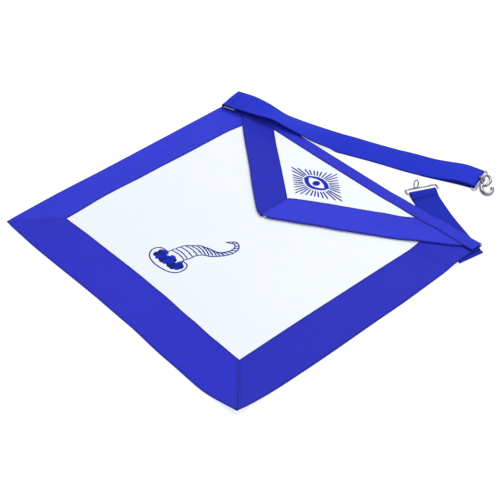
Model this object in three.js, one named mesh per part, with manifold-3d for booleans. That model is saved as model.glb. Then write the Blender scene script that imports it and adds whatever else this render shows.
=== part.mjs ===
// A lodge apron lying on a table: a white panel bound with wide ribbons, a pointed
// flap with ribbons of its own, a binding along the waist and two webbing straps,
// one with a wire frame and a snake hook, the other with a frame and a standing eye.
// Millimetres. X runs along the hem, Y from the hem to the waist, Z up. The origin
// is on the table under the middle of the panel.
import * as THREE from 'three';
import { mergeVertices } from 'three/addons/utils/BufferGeometryUtils.js';
import Module from 'manifold-3d';

const wasm = await Module();
wasm.setup();

// Sheet goods
const PANEL_WALL = 1.2;
const RIBBON_WALL = 1.0;
const STRAP_WALL = 1.2;
const STIFFENER_WALL = 1.0;
const GAP = 0.3;

// The body of the apron
const APRON_WIDTH = 406.4;
const APRON_HEIGHT = 355.6;
const LEFT_BORDER_WIDTH = 46;
const HEM_BORDER_WIDTH = 53;
const RIGHT_BORDER_WIDTH = 53.5;
const BORDER_UNDER = 12;
const SAG_RUN = 14;
const CORNER_LIFT = 5;
const CORNER_LIFT_RUN = 60;

// The flap
const FLAP_DEPTH = 146;
const FLAP_APEX_X = -7;
const FLAP_RIBBON_WIDTH = 38.1;
const FLAP_UNDER = 8;
const FLAP_CLIMB_RUN = 19;

// The binding along the waist
const BAND_WIDTH = 16;
const BAND_UNDER = 12;

// The straps, 1 1/4 inch webbing. Their runs are shares of the apron's width
const STRAP_WIDTH = 32;
const LONG_RUN_SHARE = 0.82923;
const LONG_RETURN = 62;
const LONG_UNDER = 20;
const LEG_FROM_FOLD = 3;
const LEG_CLIMB_RUN = 9;
const LONG_FOLD_REACH = 16;
const LONG_FOLD_FROM_WAIST = 18;
const LONG_FOLD_OVERHANG = 1.6;
const LONG_FOLD_HEIGHT = { near: 11.5, far: 13.3 };
const SHORT_RUN_SHARE = 0.30512;
const SHORT_RETURN = 9;
const SHORT_FOLD_REACH = 14;
const SHORT_FOLD_FROM_WAIST = 22.4;
const SHORT_FOLD_OVERHANG = 1.8;
const SEWN_LENGTH = 50;
const FOLD_TILT = 10;
const STIFFENER_LENGTH = 17;
const STIFFENER_FROM_FOLD = 4;
const DRAPE_REACH = 4;
const DRAPE_SLOPE = 1.15;

// How the apron rises over the short strap: the strap's reach from the side edge
// and the lengths over which the apron climbs onto it
const STRAP_REACH_BENEATH = 112;
const FIRST_CLIMB_RUN = 29;
const SECOND_CLIMB_RUN = 19;
const STRAP_EDGE_RUN = 22;

// The wire frames and the hook
const WIRE_RADIUS = 1.1;
const FRAME_WIDTH = 40;
const FRAME_DEPTH = 10;
const FRAME_CORNER = 1.6;
const CORNER_SOFTNESS = 0.3;
const EYE_FRAME_SHIFT = 0.8;
const EYE_HOLE_RADIUS = 2.6;
const EYE_WIRE_RADIUS = 0.8;
const EYE_HEIGHT = 4.4;
const HOOK_WIRE_RADIUS = 1.5;
const HOOK_HEAD_RADIUS = 2.2;
const HOOK_REST = 0.2;
const LOBE_RADIUS = 5.5;
const HOOK_RADIUS = 6.4;
const HOOK_SPACING = 21.5;
const HOOK_TURN = -60;

// Colours and finishes
const RIBBON_BLUE = 0x3338c4;
const STRAP_BLUE = 0x2b39c4;
const PANEL_WHITE = 0xf3f6fb;
const STIFFENER_GREY = 0xb4bccb;
const SILVER = 0xb4b6c2;
const RIBBON_FINISH = { color: RIBBON_BLUE, roughness: 0.45, metalness: 0 };
const STRAP_FINISH = { color: STRAP_BLUE, roughness: 0.7, metalness: 0 };
const PANEL_FINISH = { color: PANEL_WHITE, roughness: 0.55, metalness: 0 };
const STIFFENER_FINISH = { color: STIFFENER_GREY, roughness: 0.9, metalness: 0 };
const METAL_FINISH = { color: SILVER, roughness: 0.3, metalness: 1 };

// Values that follow from the sizes
const HALF_WIDTH = APRON_WIDTH / 2;
const HALF_HEIGHT = APRON_HEIGHT / 2;
const LONG_RUN = APRON_WIDTH * LONG_RUN_SHARE;
const SHORT_RUN = APRON_WIDTH * SHORT_RUN_SHARE;
const RIBBON_RISE = RIBBON_WALL + GAP;
const PANEL_RISE = PANEL_WALL + GAP;
const STRAP_RISE = STRAP_WALL + GAP;
const BAR_HEIGHT = STRAP_RISE + WIRE_RADIUS;
const LOOP_RADIUS = WIRE_RADIUS + GAP + STRAP_WALL / 2;
const LOOP_TOP = BAR_HEIGHT + LOOP_RADIUS;

// How far each edge of the body strays outwards from its straight line, in
// millimetres, at a share of its length; the right edge runs up, the left one down
const HEM_STRAY = [
  { along: 0.0, outer: 0.6, inner: 0.4 },
  { along: 0.16, outer: 1.7, inner: -1.2 },
  { along: 0.42, outer: 0.2, inner: -1.8 },
  { along: 0.56, outer: 0.6, inner: -0.6 },
  { along: 0.74, outer: 3.4, inner: 2.2 },
  { along: 0.87, outer: 5.0, inner: 4.2 },
  { along: 1.0, outer: 1.2, inner: 4.6 },
];
const RIGHT_STRAY = [
  { along: 0.0, outer: 0.8, inner: -1.0 },
  { along: 0.3, outer: 1.0, inner: -0.4 },
  { along: 0.6, outer: -0.4, inner: 0.8 },
  { along: 0.84, outer: -2.6, inner: 1.4 },
  { along: 1.0, outer: -0.2, inner: 0.4 },
];
const LEFT_STRAY = [
  { along: 0.0, outer: 0.2, inner: 0.6 },
  { along: 0.3, outer: 0.4, inner: -1.8 },
  { along: 0.6, outer: 0.6, inner: 1.6 },
  { along: 0.78, outer: 2.6, inner: 2.4 },
  { along: 1.0, outer: 0.4, inner: 0.2 },
];
const FLAP_LEFT_STRAY = [
  { along: 0.0, outer: 0, inner: 0 },
  { along: 0.5, outer: 0.8, inner: 0.4 },
  { along: 1.0, outer: 0, inner: 0 },
];
const FLAP_RIGHT_STRAY = [
  { along: 0.0, outer: 0, inner: 0 },
  { along: 0.35, outer: 2.8, inner: 1.6 },
  { along: 1.0, outer: 0, inner: 0 },
];
const NO_STRAY = [
  { along: 0.0, outer: 0, inner: 0 },
  { along: 1.0, outer: 0, inner: 0 },
];

// The long strap from its fold to its end: its heading in plan in degrees and the
// heights of its near and far edges above the table
const LONG_ROUTE = [
  { along: 0.0, heading: 20, near: 11.5, far: 13.3 },
  { along: 0.05, heading: 18, near: 10.8, far: 12.8 },
  { along: 0.12, heading: 9, near: 9.4, far: 10.6 },
  { along: 0.2, heading: 8, near: 9.2, far: 4.6 },
  { along: 0.27, heading: 4, near: 9.8, far: 1.6 },
  { along: 0.34, heading: 6, near: 9.8, far: 0.9 },
  { along: 0.42, heading: 10, near: 9.4, far: 1.2 },
  { along: 0.48, heading: 18, near: 8.8, far: 3.4 },
  { along: 0.54, heading: 27, near: 7.8, far: 4.0 },
  { along: 0.62, heading: 27, near: 5.4, far: 2.0 },
  { along: 0.78, heading: 23, near: 2.6, far: 2.6 },
  { along: 0.86, heading: 25, near: 3.6, far: 4.4 },
  { along: 0.94, heading: 26, near: 5.4, far: 6.4 },
  { along: 1.0, heading: 18.2, near: LOOP_TOP, far: LOOP_TOP },
];
const SHORT_ROUTE = [
  { along: 0.0, heading: 160, near: STRAP_WALL / 2, far: STRAP_WALL / 2 },
  { along: 0.35, heading: 162, near: STRAP_WALL / 2, far: STRAP_WALL / 2 },
  { along: 0.87, heading: 155, near: STRAP_WALL / 2, far: STRAP_WALL / 2 },
  { along: 1.0, heading: 153.5, near: LOOP_TOP, far: LOOP_TOP },
];

// The hook's wire, from its tail round the lobe to the head: points about the
// middles of its two loops, as an angle in degrees and a share of the loop's radius
const HOOK_WIRE = [
  { loop: 'lobe', angle: -38, reach: 1.42 },
  { loop: 'lobe', angle: -68, reach: 1.02 },
  { loop: 'lobe', angle: -112, reach: 1.0 },
  { loop: 'lobe', angle: -150, reach: 1.24 },
  { loop: 'lobe', angle: 175, reach: 1.36 },
  { loop: 'lobe', angle: 140, reach: 1.14 },
  { loop: 'lobe', angle: 100, reach: 0.94 },
  { loop: 'lobe', angle: 60, reach: 1.02 },
  { loop: 'lobe', angle: 20, reach: 1.26 },
  { loop: 'lobe', angle: -8, reach: 1.72 },
  { loop: 'hook', angle: -148, reach: 1.58 },
  { loop: 'hook', angle: -118, reach: 1.16 },
  { loop: 'hook', angle: -70, reach: 0.92 },
  { loop: 'hook', angle: -13, reach: 1.0 },
  { loop: 'hook', angle: 34, reach: 0.94 },
  { loop: 'hook', angle: 82, reach: 0.94 },
  { loop: 'hook', angle: 128, reach: 1.28 },
];
const LOBE_OFFSET = { along: 1, across: 5 };
const HOOK_OFFSET_ACROSS = 4;

// Between two rows a value changes along half a cosine wave, level at both rows
function tableValue(rows, along, column) {
  const last = rows.length - 1;
  const place = THREE.MathUtils.clamp(along, rows[0].along, rows[last].along);
  let row = 0;
  while (row < last - 1 && place > rows[row + 1].along) row += 1;
  const from = rows[row];
  const to = rows[row + 1];
  const share = (place - from.along) / (to.along - from.along);
  const eased = (1 - Math.cos(Math.PI * share)) / 2;
  return from[column] + (to[column] - from[column]) * eased;
}

const ramp = (value, from, to) => THREE.MathUtils.clamp((value - from) / (to - from), 0, 1);
const mix = (from, to, share) => from + (to - from) * share;

function directionAt(degrees) {
  const angle = THREE.MathUtils.degToRad(degrees);
  return new THREE.Vector2(Math.cos(angle), Math.sin(angle));
}

// A geometry becomes a solid, and a solid a geometry, for joins and cuts
function solidOf(geometry) {
  const bare = geometry.clone();
  bare.deleteAttribute('normal');
  bare.deleteAttribute('uv');
  const merged = mergeVertices(bare, 1e-4);
  const vertProperties = new Float32Array(merged.attributes.position.array);
  const triVerts = new Uint32Array(merged.index.array);
  return new wasm.Manifold(new wasm.Mesh({ numProp: 3, vertProperties, triVerts }));
}

function geometryOf(solid) {
  const mesh = solid.getMesh();
  const geometry = new THREE.BufferGeometry();
  const places = new Float32Array(mesh.vertProperties);
  geometry.setAttribute('position', new THREE.BufferAttribute(places, 3));
  geometry.setIndex(new THREE.BufferAttribute(new Uint32Array(mesh.triVerts), 1));
  geometry.computeVertexNormals();
  return geometry;
}

// A closed wall between a lower and an upper grid of points
function wallBetween(lower, upper) {
  const rows = lower.length;
  const columns = lower[0].length;
  const places = [];
  for (const grid of [lower, upper]) {
    for (const line of grid) {
      for (const point of line) places.push(point.x, point.y, point.z);
    }
  }
  const at = (side, row, column) => side * rows * columns + row * columns + column;
  const faces = [];
  const quad = (a, b, c, d) => faces.push(a, b, c, a, c, d);
  for (let i = 0; i < rows - 1; i += 1) {
    for (let j = 0; j < columns - 1; j += 1) {
      quad(at(1, i, j), at(1, i + 1, j), at(1, i + 1, j + 1), at(1, i, j + 1));
      quad(at(0, i, j), at(0, i, j + 1), at(0, i + 1, j + 1), at(0, i + 1, j));
    }
  }
  const lastRow = rows - 1;
  const lastColumn = columns - 1;
  for (let i = 0; i < lastRow; i += 1) {
    quad(at(0, i, 0), at(0, i + 1, 0), at(1, i + 1, 0), at(1, i, 0));
    quad(
      at(0, i + 1, lastColumn),
      at(0, i, lastColumn),
      at(1, i, lastColumn),
      at(1, i + 1, lastColumn),
    );
  }
  for (let j = 0; j < lastColumn; j += 1) {
    quad(at(0, 0, j + 1), at(0, 0, j), at(1, 0, j), at(1, 0, j + 1));
    quad(at(0, lastRow, j), at(0, lastRow, j + 1), at(1, lastRow, j + 1), at(1, lastRow, j));
  }
  const geometry = new THREE.BufferGeometry();
  geometry.setAttribute('position', new THREE.Float32BufferAttribute(places, 3));
  geometry.setIndex(faces);
  return geometry;
}

// The corners of the body in plan, outside and at the inner edge of its ribbons
const hemLeft = new THREE.Vector2(-HALF_WIDTH, -HALF_HEIGHT);
const hemRight = new THREE.Vector2(HALF_WIDTH, -HALF_HEIGHT);
const waistTop = HALF_HEIGHT - RIBBON_RISE;
const leftInner = -HALF_WIDTH + LEFT_BORDER_WIDTH;
const rightInner = HALF_WIDTH - RIGHT_BORDER_WIDTH;
const hemInner = -HALF_HEIGHT + HEM_BORDER_WIDTH;

// The corners of the flap in plan
const flapApex = new THREE.Vector2(FLAP_APEX_X, HALF_HEIGHT - FLAP_DEPTH);
const flapSlopeLeft = FLAP_DEPTH / (HALF_WIDTH + FLAP_APEX_X);
const flapSlopeRight = FLAP_DEPTH / (HALF_WIDTH - FLAP_APEX_X);
const flapWaistX = (slope) => (waistTop - flapApex.y) / slope;
const flapLean = (slope) => Math.hypot(1, slope) / slope;
const flapTipLeft = new THREE.Vector2(FLAP_APEX_X - flapWaistX(flapSlopeLeft), waistTop);
const flapTipRight = new THREE.Vector2(FLAP_APEX_X + flapWaistX(flapSlopeRight), waistTop);
const ribbonAcrossLeft = FLAP_RIBBON_WIDTH * flapLean(flapSlopeLeft);
const ribbonAcrossRight = FLAP_RIBBON_WIDTH * flapLean(flapSlopeRight);
const flapInnerLeft = new THREE.Vector2(flapTipLeft.x + ribbonAcrossLeft, waistTop);
const flapInnerRight = new THREE.Vector2(flapTipRight.x - ribbonAcrossRight, waistTop);
const innerApexX = (flapInnerRight.x * flapSlopeRight + flapInnerLeft.x * flapSlopeLeft)
  / (flapSlopeRight + flapSlopeLeft);
const innerApexY = waistTop - (innerApexX - flapInnerLeft.x) * flapSlopeLeft;
const flapInnerApex = new THREE.Vector2(innerApexX, innerApexY);

// The plan lattice that all flat layers share, so that they stay parallel
const STRAY_ROOM = 12;
const STEP_ROOM = 3;
const LATTICE_STEP = 60;
const CLOSEST_LINES = 1.5;
const MITRE_GAP = GAP * 0.8;
const SAG_START = BORDER_UNDER + STEP_ROOM;
const SAG_END = SAG_START + SAG_RUN;
const CURL_KNOTS = [0, 0.35, 0.65, 1];
const bandCrossing = (slope) => HALF_WIDTH
  - (FLAP_RIBBON_WIDTH + STEP_ROOM) * flapLean(slope) - (BAND_WIDTH + STEP_ROOM) / slope;
const bandTopLeft = bandCrossing(flapSlopeLeft);
const bandTopRight = bandCrossing(flapSlopeRight);

// The short strap lies under the right corner, in one layer and then in two
const shortNear = HALF_HEIGHT - SHORT_FOLD_FROM_WAIST - STRAP_WIDTH / 2;
const strapTwoTop = HALF_WIDTH - SEWN_LENGTH - STEP_ROOM;
const strapTwoFoot = strapTwoTop - SECOND_CLIMB_RUN;
const strapOneTop = HALF_WIDTH - STRAP_REACH_BENEATH;
const strapOneFoot = strapOneTop - FIRST_CLIMB_RUN;
const strapEdgeTop = shortNear - STEP_ROOM;
const strapEdgeFoot = strapEdgeTop - STRAP_EDGE_RUN;

function latticeLines(wanted) {
  const sorted = [...wanted].sort((a, b) => a - b);
  const lines = [sorted[0]];
  for (const line of sorted.slice(1)) {
    const before = lines[lines.length - 1];
    if (line - before < CLOSEST_LINES) continue;
    const parts = Math.ceil((line - before) / LATTICE_STEP);
    const step = (line - before) / parts;
    for (let part = 1; part <= parts; part += 1) lines.push(before + step * part);
  }
  return lines;
}
const latticeX = latticeLines([
  -HALF_WIDTH - STRAY_ROOM, -HALF_WIDTH, -HALF_WIDTH + SAG_START, -HALF_WIDTH + SAG_END,
  leftInner + STEP_ROOM, leftInner + STEP_ROOM + FLAP_CLIMB_RUN,
  rightInner - STEP_ROOM - FLAP_CLIMB_RUN, rightInner - STEP_ROOM,
  -bandTopLeft, FLAP_CLIMB_RUN - bandTopLeft, bandTopRight - FLAP_CLIMB_RUN, bandTopRight,
  strapOneFoot, strapOneTop, strapTwoFoot, strapTwoTop,
  ...CURL_KNOTS.map((share) => HALF_WIDTH - CORNER_LIFT_RUN * (1 - share)),
  HALF_WIDTH - SAG_END, HALF_WIDTH - SAG_START, HALF_WIDTH + STRAY_ROOM,
]);
const latticeY = latticeLines([
  -HALF_HEIGHT - STRAY_ROOM, -HALF_HEIGHT, -HALF_HEIGHT + SAG_START, -HALF_HEIGHT + SAG_END,
  ...CURL_KNOTS.map((share) => -HALF_HEIGHT + CORNER_LIFT_RUN * (1 - share)),
  strapEdgeFoot, strapEdgeTop,
  HALF_HEIGHT - SAG_END, HALF_HEIGHT - SAG_START, HALF_HEIGHT, HALF_HEIGHT + STRAY_ROOM,
]);

// How far the whole apron is off the table: a curled corner at the right end of the
// hem, and the short strap under the corner at the right end of the waist
function lift(x, y) {
  const curlX = ramp(x, HALF_WIDTH - CORNER_LIFT_RUN, HALF_WIDTH);
  const curlY = ramp(y, -HALF_HEIGHT + CORNER_LIFT_RUN, -HALF_HEIGHT);
  const one = ramp(x, strapOneFoot, strapOneTop);
  const two = ramp(x, strapTwoFoot, strapTwoTop);
  const onStrap = STRAP_RISE * (one + two) * ramp(y, strapEdgeFoot, strapEdgeTop);
  return CORNER_LIFT * curlX ** 2 * curlY ** 2 + onStrap;
}

// The panel lies on the ribbons' turned-under legs along its edges and sags to the
// table inside them
function panelLow(x, y) {
  const inside = Math.min(HALF_WIDTH - Math.abs(x), HALF_HEIGHT - Math.abs(y));
  return lift(x, y) + RIBBON_RISE * (1 - ramp(inside, SAG_START, SAG_END));
}
const panelTop = (x, y) => panelLow(x, y) + PANEL_WALL;
const borderLow = (x, y) => panelLow(x, y) + PANEL_RISE;

// The flap lies on the panel and climbs onto the side ribbons
function flapBase(x, y) {
  const left = leftInner + STEP_ROOM;
  const right = rightInner - STEP_ROOM;
  const onLeft = 1 - ramp(x, left, left + FLAP_CLIMB_RUN);
  const onRight = ramp(x, right - FLAP_CLIMB_RUN, right);
  return borderLow(x, y) + RIBBON_RISE * (onLeft + onRight);
}
const flapPanelLow = (x, y) => flapBase(x, y) + RIBBON_RISE;
const flapPanelTop = (x, y) => flapPanelLow(x, y) + PANEL_WALL;
const flapRibbonLow = (x, y) => flapPanelLow(x, y) + PANEL_RISE;

// The waist binding lies on the flap and climbs onto the flap's ribbons
function bandLow(x, y) {
  const onLeft = ramp(-x, bandTopLeft - FLAP_CLIMB_RUN, bandTopLeft);
  const onRight = ramp(x, bandTopRight - FLAP_CLIMB_RUN, bandTopRight);
  return flapRibbonLow(x, y) + RIBBON_RISE * (onLeft + onRight);
}

// A layer over the lattice between two heights, cut to an outline in plan
function layer(low, high, outline) {
  const line = (x, height) => latticeY.map((y) => new THREE.Vector3(x, y, height(x, y)));
  const grid = (height) => latticeX.map((x) => line(x, height));
  const sheet = solidOf(wallBetween(grid(low), grid(high)));
  const cutterFoot = -20;
  const cutterHeight = 80;
  const shape = new THREE.Shape(outline);
  const cutter = new THREE.ExtrudeGeometry(shape, { depth: cutterHeight, bevelEnabled: false });
  cutter.translate(0, 0, cutterFoot);
  return sheet.intersect(solidOf(cutter));
}

// A line at a share of a ribbon's width from its outer edge, from corner to corner.
// The corners are the ends of the outer edge and of the inner one
const EDGE_STEPS = 16;
function lineInRibbon(corners, rows, share) {
  const from = corners.from.clone().lerp(corners.fromInner, share);
  const to = corners.to.clone().lerp(corners.toInner, share);
  const run = corners.to.clone().sub(corners.from);
  const outwards = new THREE.Vector2(run.y, -run.x).normalize();
  const points = [];
  for (let step = 0; step <= EDGE_STEPS; step += 1) {
    const along = step / EDGE_STEPS;
    const stray = mix(tableValue(rows, along, 'outer'), tableValue(rows, along, 'inner'), share);
    points.push(from.clone().lerp(to, along).addScaledVector(outwards, stray));
  }
  return points;
}

// The strip of a ribbon from its outer edge to a share of its width, a little
// shorter at the ends that are mitred
function stripOf(ribbon, share) {
  const along = ribbon.corners.to.clone().sub(ribbon.corners.from).normalize();
  const trim = (points) => {
    const last = points.length - 1;
    if (ribbon.mitredFrom) points[0].addScaledVector(along, MITRE_GAP);
    if (ribbon.mitredTo) points[last].addScaledVector(along, -MITRE_GAP);
    return points;
  };
  const outer = trim(lineInRibbon(ribbon.corners, ribbon.rows, 0));
  const inner = trim(lineInRibbon(ribbon.corners, ribbon.rows, share));
  return [...outer, ...inner.reverse()];
}

// A ribbon folded round an edge: a leg on top, a leg turned under and the fold
function foldedRibbon(ribbon) {
  const { width, under, low, foot } = ribbon;
  const top = (x, y) => low(x, y) + RIBBON_WALL;
  const footTop = (x, y) => foot(x, y) + RIBBON_WALL;
  const legOnTop = layer(low, top, stripOf(ribbon, 1));
  const legUnder = layer(foot, footTop, ribbon.underOutline ?? stripOf(ribbon, under / width));
  const fold = layer(foot, top, stripOf(ribbon, RIBBON_WALL / width));
  return legOnTop.add(legUnder).add(fold);
}

const left = {
  corners: {
    from: new THREE.Vector2(-HALF_WIDTH, waistTop),
    to: hemLeft,
    fromInner: new THREE.Vector2(leftInner, waistTop),
    toInner: new THREE.Vector2(leftInner, hemInner),
  },
  rows: LEFT_STRAY,
  width: LEFT_BORDER_WIDTH,
  under: BORDER_UNDER,
  mitredTo: true,
  low: borderLow,
  foot: lift,
};
const hem = {
  corners: {
    from: hemLeft,
    to: hemRight,
    fromInner: new THREE.Vector2(leftInner, hemInner),
    toInner: new THREE.Vector2(rightInner, hemInner),
  },
  rows: HEM_STRAY,
  width: HEM_BORDER_WIDTH,
  under: BORDER_UNDER,
  mitredFrom: true,
  mitredTo: true,
  low: borderLow,
  foot: lift,
};
const right = {
  corners: {
    from: hemRight,
    to: new THREE.Vector2(HALF_WIDTH, waistTop),
    fromInner: new THREE.Vector2(rightInner, hemInner),
    toInner: new THREE.Vector2(rightInner, waistTop),
  },
  rows: RIGHT_STRAY,
  width: RIGHT_BORDER_WIDTH,
  under: BORDER_UNDER,
  mitredFrom: true,
  low: borderLow,
  foot: lift,
};
const flapLeft = {
  corners: { from: flapTipLeft, to: flapApex, fromInner: flapInnerLeft, toInner: flapInnerApex },
  rows: FLAP_LEFT_STRAY,
  width: FLAP_RIBBON_WIDTH,
  under: FLAP_UNDER,
  mitredTo: true,
  low: flapRibbonLow,
  foot: flapBase,
};
const flapRight = {
  corners: { from: flapApex, to: flapTipRight, fromInner: flapInnerApex, toInner: flapInnerRight },
  rows: FLAP_RIGHT_STRAY,
  width: FLAP_RIBBON_WIDTH,
  under: FLAP_UNDER,
  mitredFrom: true,
  low: flapRibbonLow,
  foot: flapBase,
};

// The binding's leg under the panel lies between the side ribbons' turned-under legs
const bandUnderX = HALF_WIDTH - BORDER_UNDER - STEP_ROOM;
const bandUnderY = HALF_HEIGHT - BAND_UNDER;
const band = {
  corners: {
    from: new THREE.Vector2(HALF_WIDTH, HALF_HEIGHT),
    to: new THREE.Vector2(-HALF_WIDTH, HALF_HEIGHT),
    fromInner: new THREE.Vector2(HALF_WIDTH, HALF_HEIGHT - BAND_WIDTH),
    toInner: new THREE.Vector2(-HALF_WIDTH, HALF_HEIGHT - BAND_WIDTH),
  },
  rows: NO_STRAY,
  width: BAND_WIDTH,
  under: BAND_UNDER,
  underOutline: [
    new THREE.Vector2(-bandUnderX, bandUnderY),
    new THREE.Vector2(bandUnderX, bandUnderY),
    new THREE.Vector2(bandUnderX, HALF_HEIGHT),
    new THREE.Vector2(-bandUnderX, HALF_HEIGHT),
  ],
  low: bandLow,
  foot: lift,
};

// The panels reach into the folds of their ribbons
const narrowestRibbon = Math.min(LEFT_BORDER_WIDTH, HEM_BORDER_WIDTH, RIGHT_BORDER_WIDTH);
const bodyInset = RIBBON_RISE / narrowestRibbon;
const flapInset = RIBBON_RISE / FLAP_RIBBON_WIDTH;
const bodyOutline = [left, hem, right].flatMap((ribbon) => (
  lineInRibbon(ribbon.corners, ribbon.rows, bodyInset)));
const flapOutline = [flapLeft, flapRight].flatMap((ribbon) => (
  lineInRibbon(ribbon.corners, ribbon.rows, flapInset)));

// Where a strap's surface is worked out: shares of its width from near to far,
// shares of its turned legs' lengths, and angles round its folds and loops
const ACROSS = [0, 0.13, 0.28, 0.43, 0.58, 0.72, 0.86, 1];
const LONG_LEG_SHARES = [1, 0.66, 0.33];
const SHORT_LEG_SHARES = [1, 0.5, 0.1];
const FOLD_ANGLES = [-90, -60, -30, 0, 30, 60, 90];
const LOOP_ANGLES = [60, 30, 0, -30, -60, -90];
const LONG_RUN_ROWS = 34;
const SHORT_RUN_ROWS = 14;
const RETURN_ROWS = 6;
const STIFFENER_SHARES = [1, 0.75, 0.5, 0.25, 0];
const STIFFENER_ACROSS = [0.05, 0.14, 0.23, 0.32, 0.41];
const NEAR_END_SHARE = 0.98;

// A strap's wall about the middle surface given by rows of points across it
function strapWall(rows, wall) {
  const lower = [];
  const upper = [];
  rows.forEach((row, i) => {
    const before = rows[Math.max(i - 1, 0)];
    const after = rows[Math.min(i + 1, rows.length - 1)];
    const low = [];
    const high = [];
    row.forEach((point, j) => {
      const alongRow = row[Math.min(j + 1, row.length - 1)].clone().sub(row[Math.max(j - 1, 0)]);
      const normal = after[j].clone().sub(before[j]).cross(alongRow).normalize();
      low.push(point.clone().addScaledVector(normal, -wall / 2));
      high.push(point.clone().addScaledVector(normal, wall / 2));
    });
    lower.push(low);
    upper.push(high);
  });
  return wallBetween(lower, upper);
}

// A line through the strap's route: the middle in plan at each step of its length
const ROUTE_STEPS = 120;
function routeMiddles(start, rows, run) {
  const middles = [start.clone()];
  for (let step = 1; step <= ROUTE_STEPS; step += 1) {
    const heading = tableValue(rows, (step - 0.5) / ROUTE_STEPS, 'heading');
    const before = middles[step - 1];
    middles.push(before.clone().addScaledVector(directionAt(heading), run / ROUTE_STEPS));
  }
  return middles;
}
function placeOn(middles, rows, along) {
  const step = THREE.MathUtils.clamp(along, 0, 1) * ROUTE_STEPS;
  const index = Math.min(Math.floor(step), ROUTE_STEPS - 1);
  const middle = middles[index].clone().lerp(middles[index + 1], step - index);
  const heading = tableValue(rows, along, 'heading');
  return { middle, heading };
}

// The long strap: a leg lying on the apron's corner, a fold at the side edge, then
// the run over the waist and along the table to the hook's frame and back beneath
const foldSpan = STRAP_WIDTH / Math.cos(THREE.MathUtils.degToRad(FOLD_TILT));
const longFold = {
  middle: new THREE.Vector2(-HALF_WIDTH - LONG_FOLD_OVERHANG, HALF_HEIGHT - LONG_FOLD_FROM_WAIST),
  direction: directionAt(90 + FOLD_TILT),
  inwards: directionAt(FOLD_TILT),
};
const longLegHeading = directionAt(0);
const borderTopAtFold = RIBBON_RISE + PANEL_RISE + RIBBON_WALL;
const bandTopAtFold = bandLow(-HALF_WIDTH, HALF_HEIGHT) + RIBBON_WALL;
const legClimbTop = HALF_HEIGHT - BAND_WIDTH - 2 * RIBBON_WALL;

function longLegHeight(y) {
  const climb = ramp(y, legClimbTop - LEG_CLIMB_RUN, legClimbTop);
  return mix(borderTopAtFold, bandTopAtFold, climb) + GAP + STRAP_WALL / 2;
}
const onFold = (fold, across) => fold.middle.clone()
  .addScaledVector(fold.direction, (across - 0.5) * foldSpan);

function longFoldPoint(across, angle) {
  const tip = onFold(longFold, across);
  const low = longLegHeight(tip.y);
  const high = mix(LONG_FOLD_HEIGHT.near, LONG_FOLD_HEIGHT.far, across);
  const radius = (high - low) / 2;
  const turned = THREE.MathUtils.degToRad(angle);
  tip.addScaledVector(longFold.inwards, radius * (1 - Math.cos(turned)));
  return new THREE.Vector3(tip.x, tip.y, low + radius * (1 + Math.sin(turned)));
}

// The strap hangs over the waist edge like a cloth over a table's edge
function drapeHeight(x, y) {
  const beyond = Math.max(0, y - HALF_HEIGHT - DRAPE_REACH);
  const onBand = y > HALF_HEIGHT - BAND_WIDTH - STEP_ROOM;
  const under = onBand ? bandLow(x, Math.min(y, HALF_HEIGHT)) + RIBBON_WALL : 0;
  return under + GAP + STRAP_WALL / 2 - beyond * DRAPE_SLOPE;
}

const longStart = longFold.middle.clone();
const longMiddles = routeMiddles(longStart, LONG_ROUTE, LONG_RUN);
function longRoutePoint(along, across, height) {
  const { middle, heading } = placeOn(longMiddles, LONG_ROUTE, along);
  const sideways = directionAt(heading + 90);
  const place = middle.addScaledVector(sideways, (across - 0.5) * STRAP_WIDTH);
  return new THREE.Vector3(place.x, place.y, height);
}

function longStrap() {
  const rows = [];
  for (const share of LONG_LEG_SHARES) {
    const reach = LEG_FROM_FOLD + share * LONG_UNDER;
    rows.push(ACROSS.map((across) => {
      const place = onFold(longFold, across).addScaledVector(longLegHeading, reach);
      return new THREE.Vector3(place.x, place.y, longLegHeight(place.y));
    }));
  }
  for (const angle of FOLD_ANGLES) rows.push(ACROSS.map((across) => longFoldPoint(across, angle)));
  const first = LONG_FOLD_REACH / LONG_RUN;
  for (let row = 0; row < LONG_RUN_ROWS; row += 1) {
    const along = mix(first, 1, row / (LONG_RUN_ROWS - 1));
    rows.push(ACROSS.map((across) => {
      const near = tableValue(LONG_ROUTE, along, 'near');
      const far = tableValue(LONG_ROUTE, along, 'far');
      const point = longRoutePoint(along, across, mix(near, far, across));
      point.z = Math.max(point.z, drapeHeight(point.x, point.y));
      return point;
    }));
  }
  rows.push(...loopRows(longRoutePoint, LONG_RETURN / LONG_RUN));
  return strapWall(rows, STRAP_WALL);
}

// The end of a strap goes round the frame's bar and back beneath itself
function loopRows(pointAt, returned) {
  const rows = [];
  for (const angle of LOOP_ANGLES) {
    const turned = THREE.MathUtils.degToRad(angle);
    rows.push(ACROSS.map((across) => {
      const point = pointAt(1, across, BAR_HEIGHT + LOOP_RADIUS * Math.sin(turned));
      const back = pointAt(NEAR_END_SHARE, across, 0);
      const ahead = pointAt(1, across, 0).sub(back).normalize();
      return point.addScaledVector(ahead, LOOP_RADIUS * Math.cos(turned));
    }));
  }
  for (let row = 1; row <= RETURN_ROWS; row += 1) {
    const along = 1 - (returned * row) / RETURN_ROWS;
    rows.push(ACROSS.map((across) => pointAt(along, across, STRAP_WALL / 2)));
  }
  return rows;
}

// The pale stiffening inside the open fold, resting on the strap's lower leg
function strapStiffener() {
  const rows = [];
  const rise = STRAP_WALL / 2 + GAP + STIFFENER_WALL / 2 + GAP;
  for (const share of STIFFENER_SHARES) {
    const reach = STIFFENER_FROM_FOLD + share * STIFFENER_LENGTH;
    rows.push(STIFFENER_ACROSS.map((across) => {
      const place = onFold(longFold, across).addScaledVector(longLegHeading, reach);
      return new THREE.Vector3(place.x, place.y, longLegHeight(place.y) + rise);
    }));
  }
  return strapWall(rows, STIFFENER_WALL);
}

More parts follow.
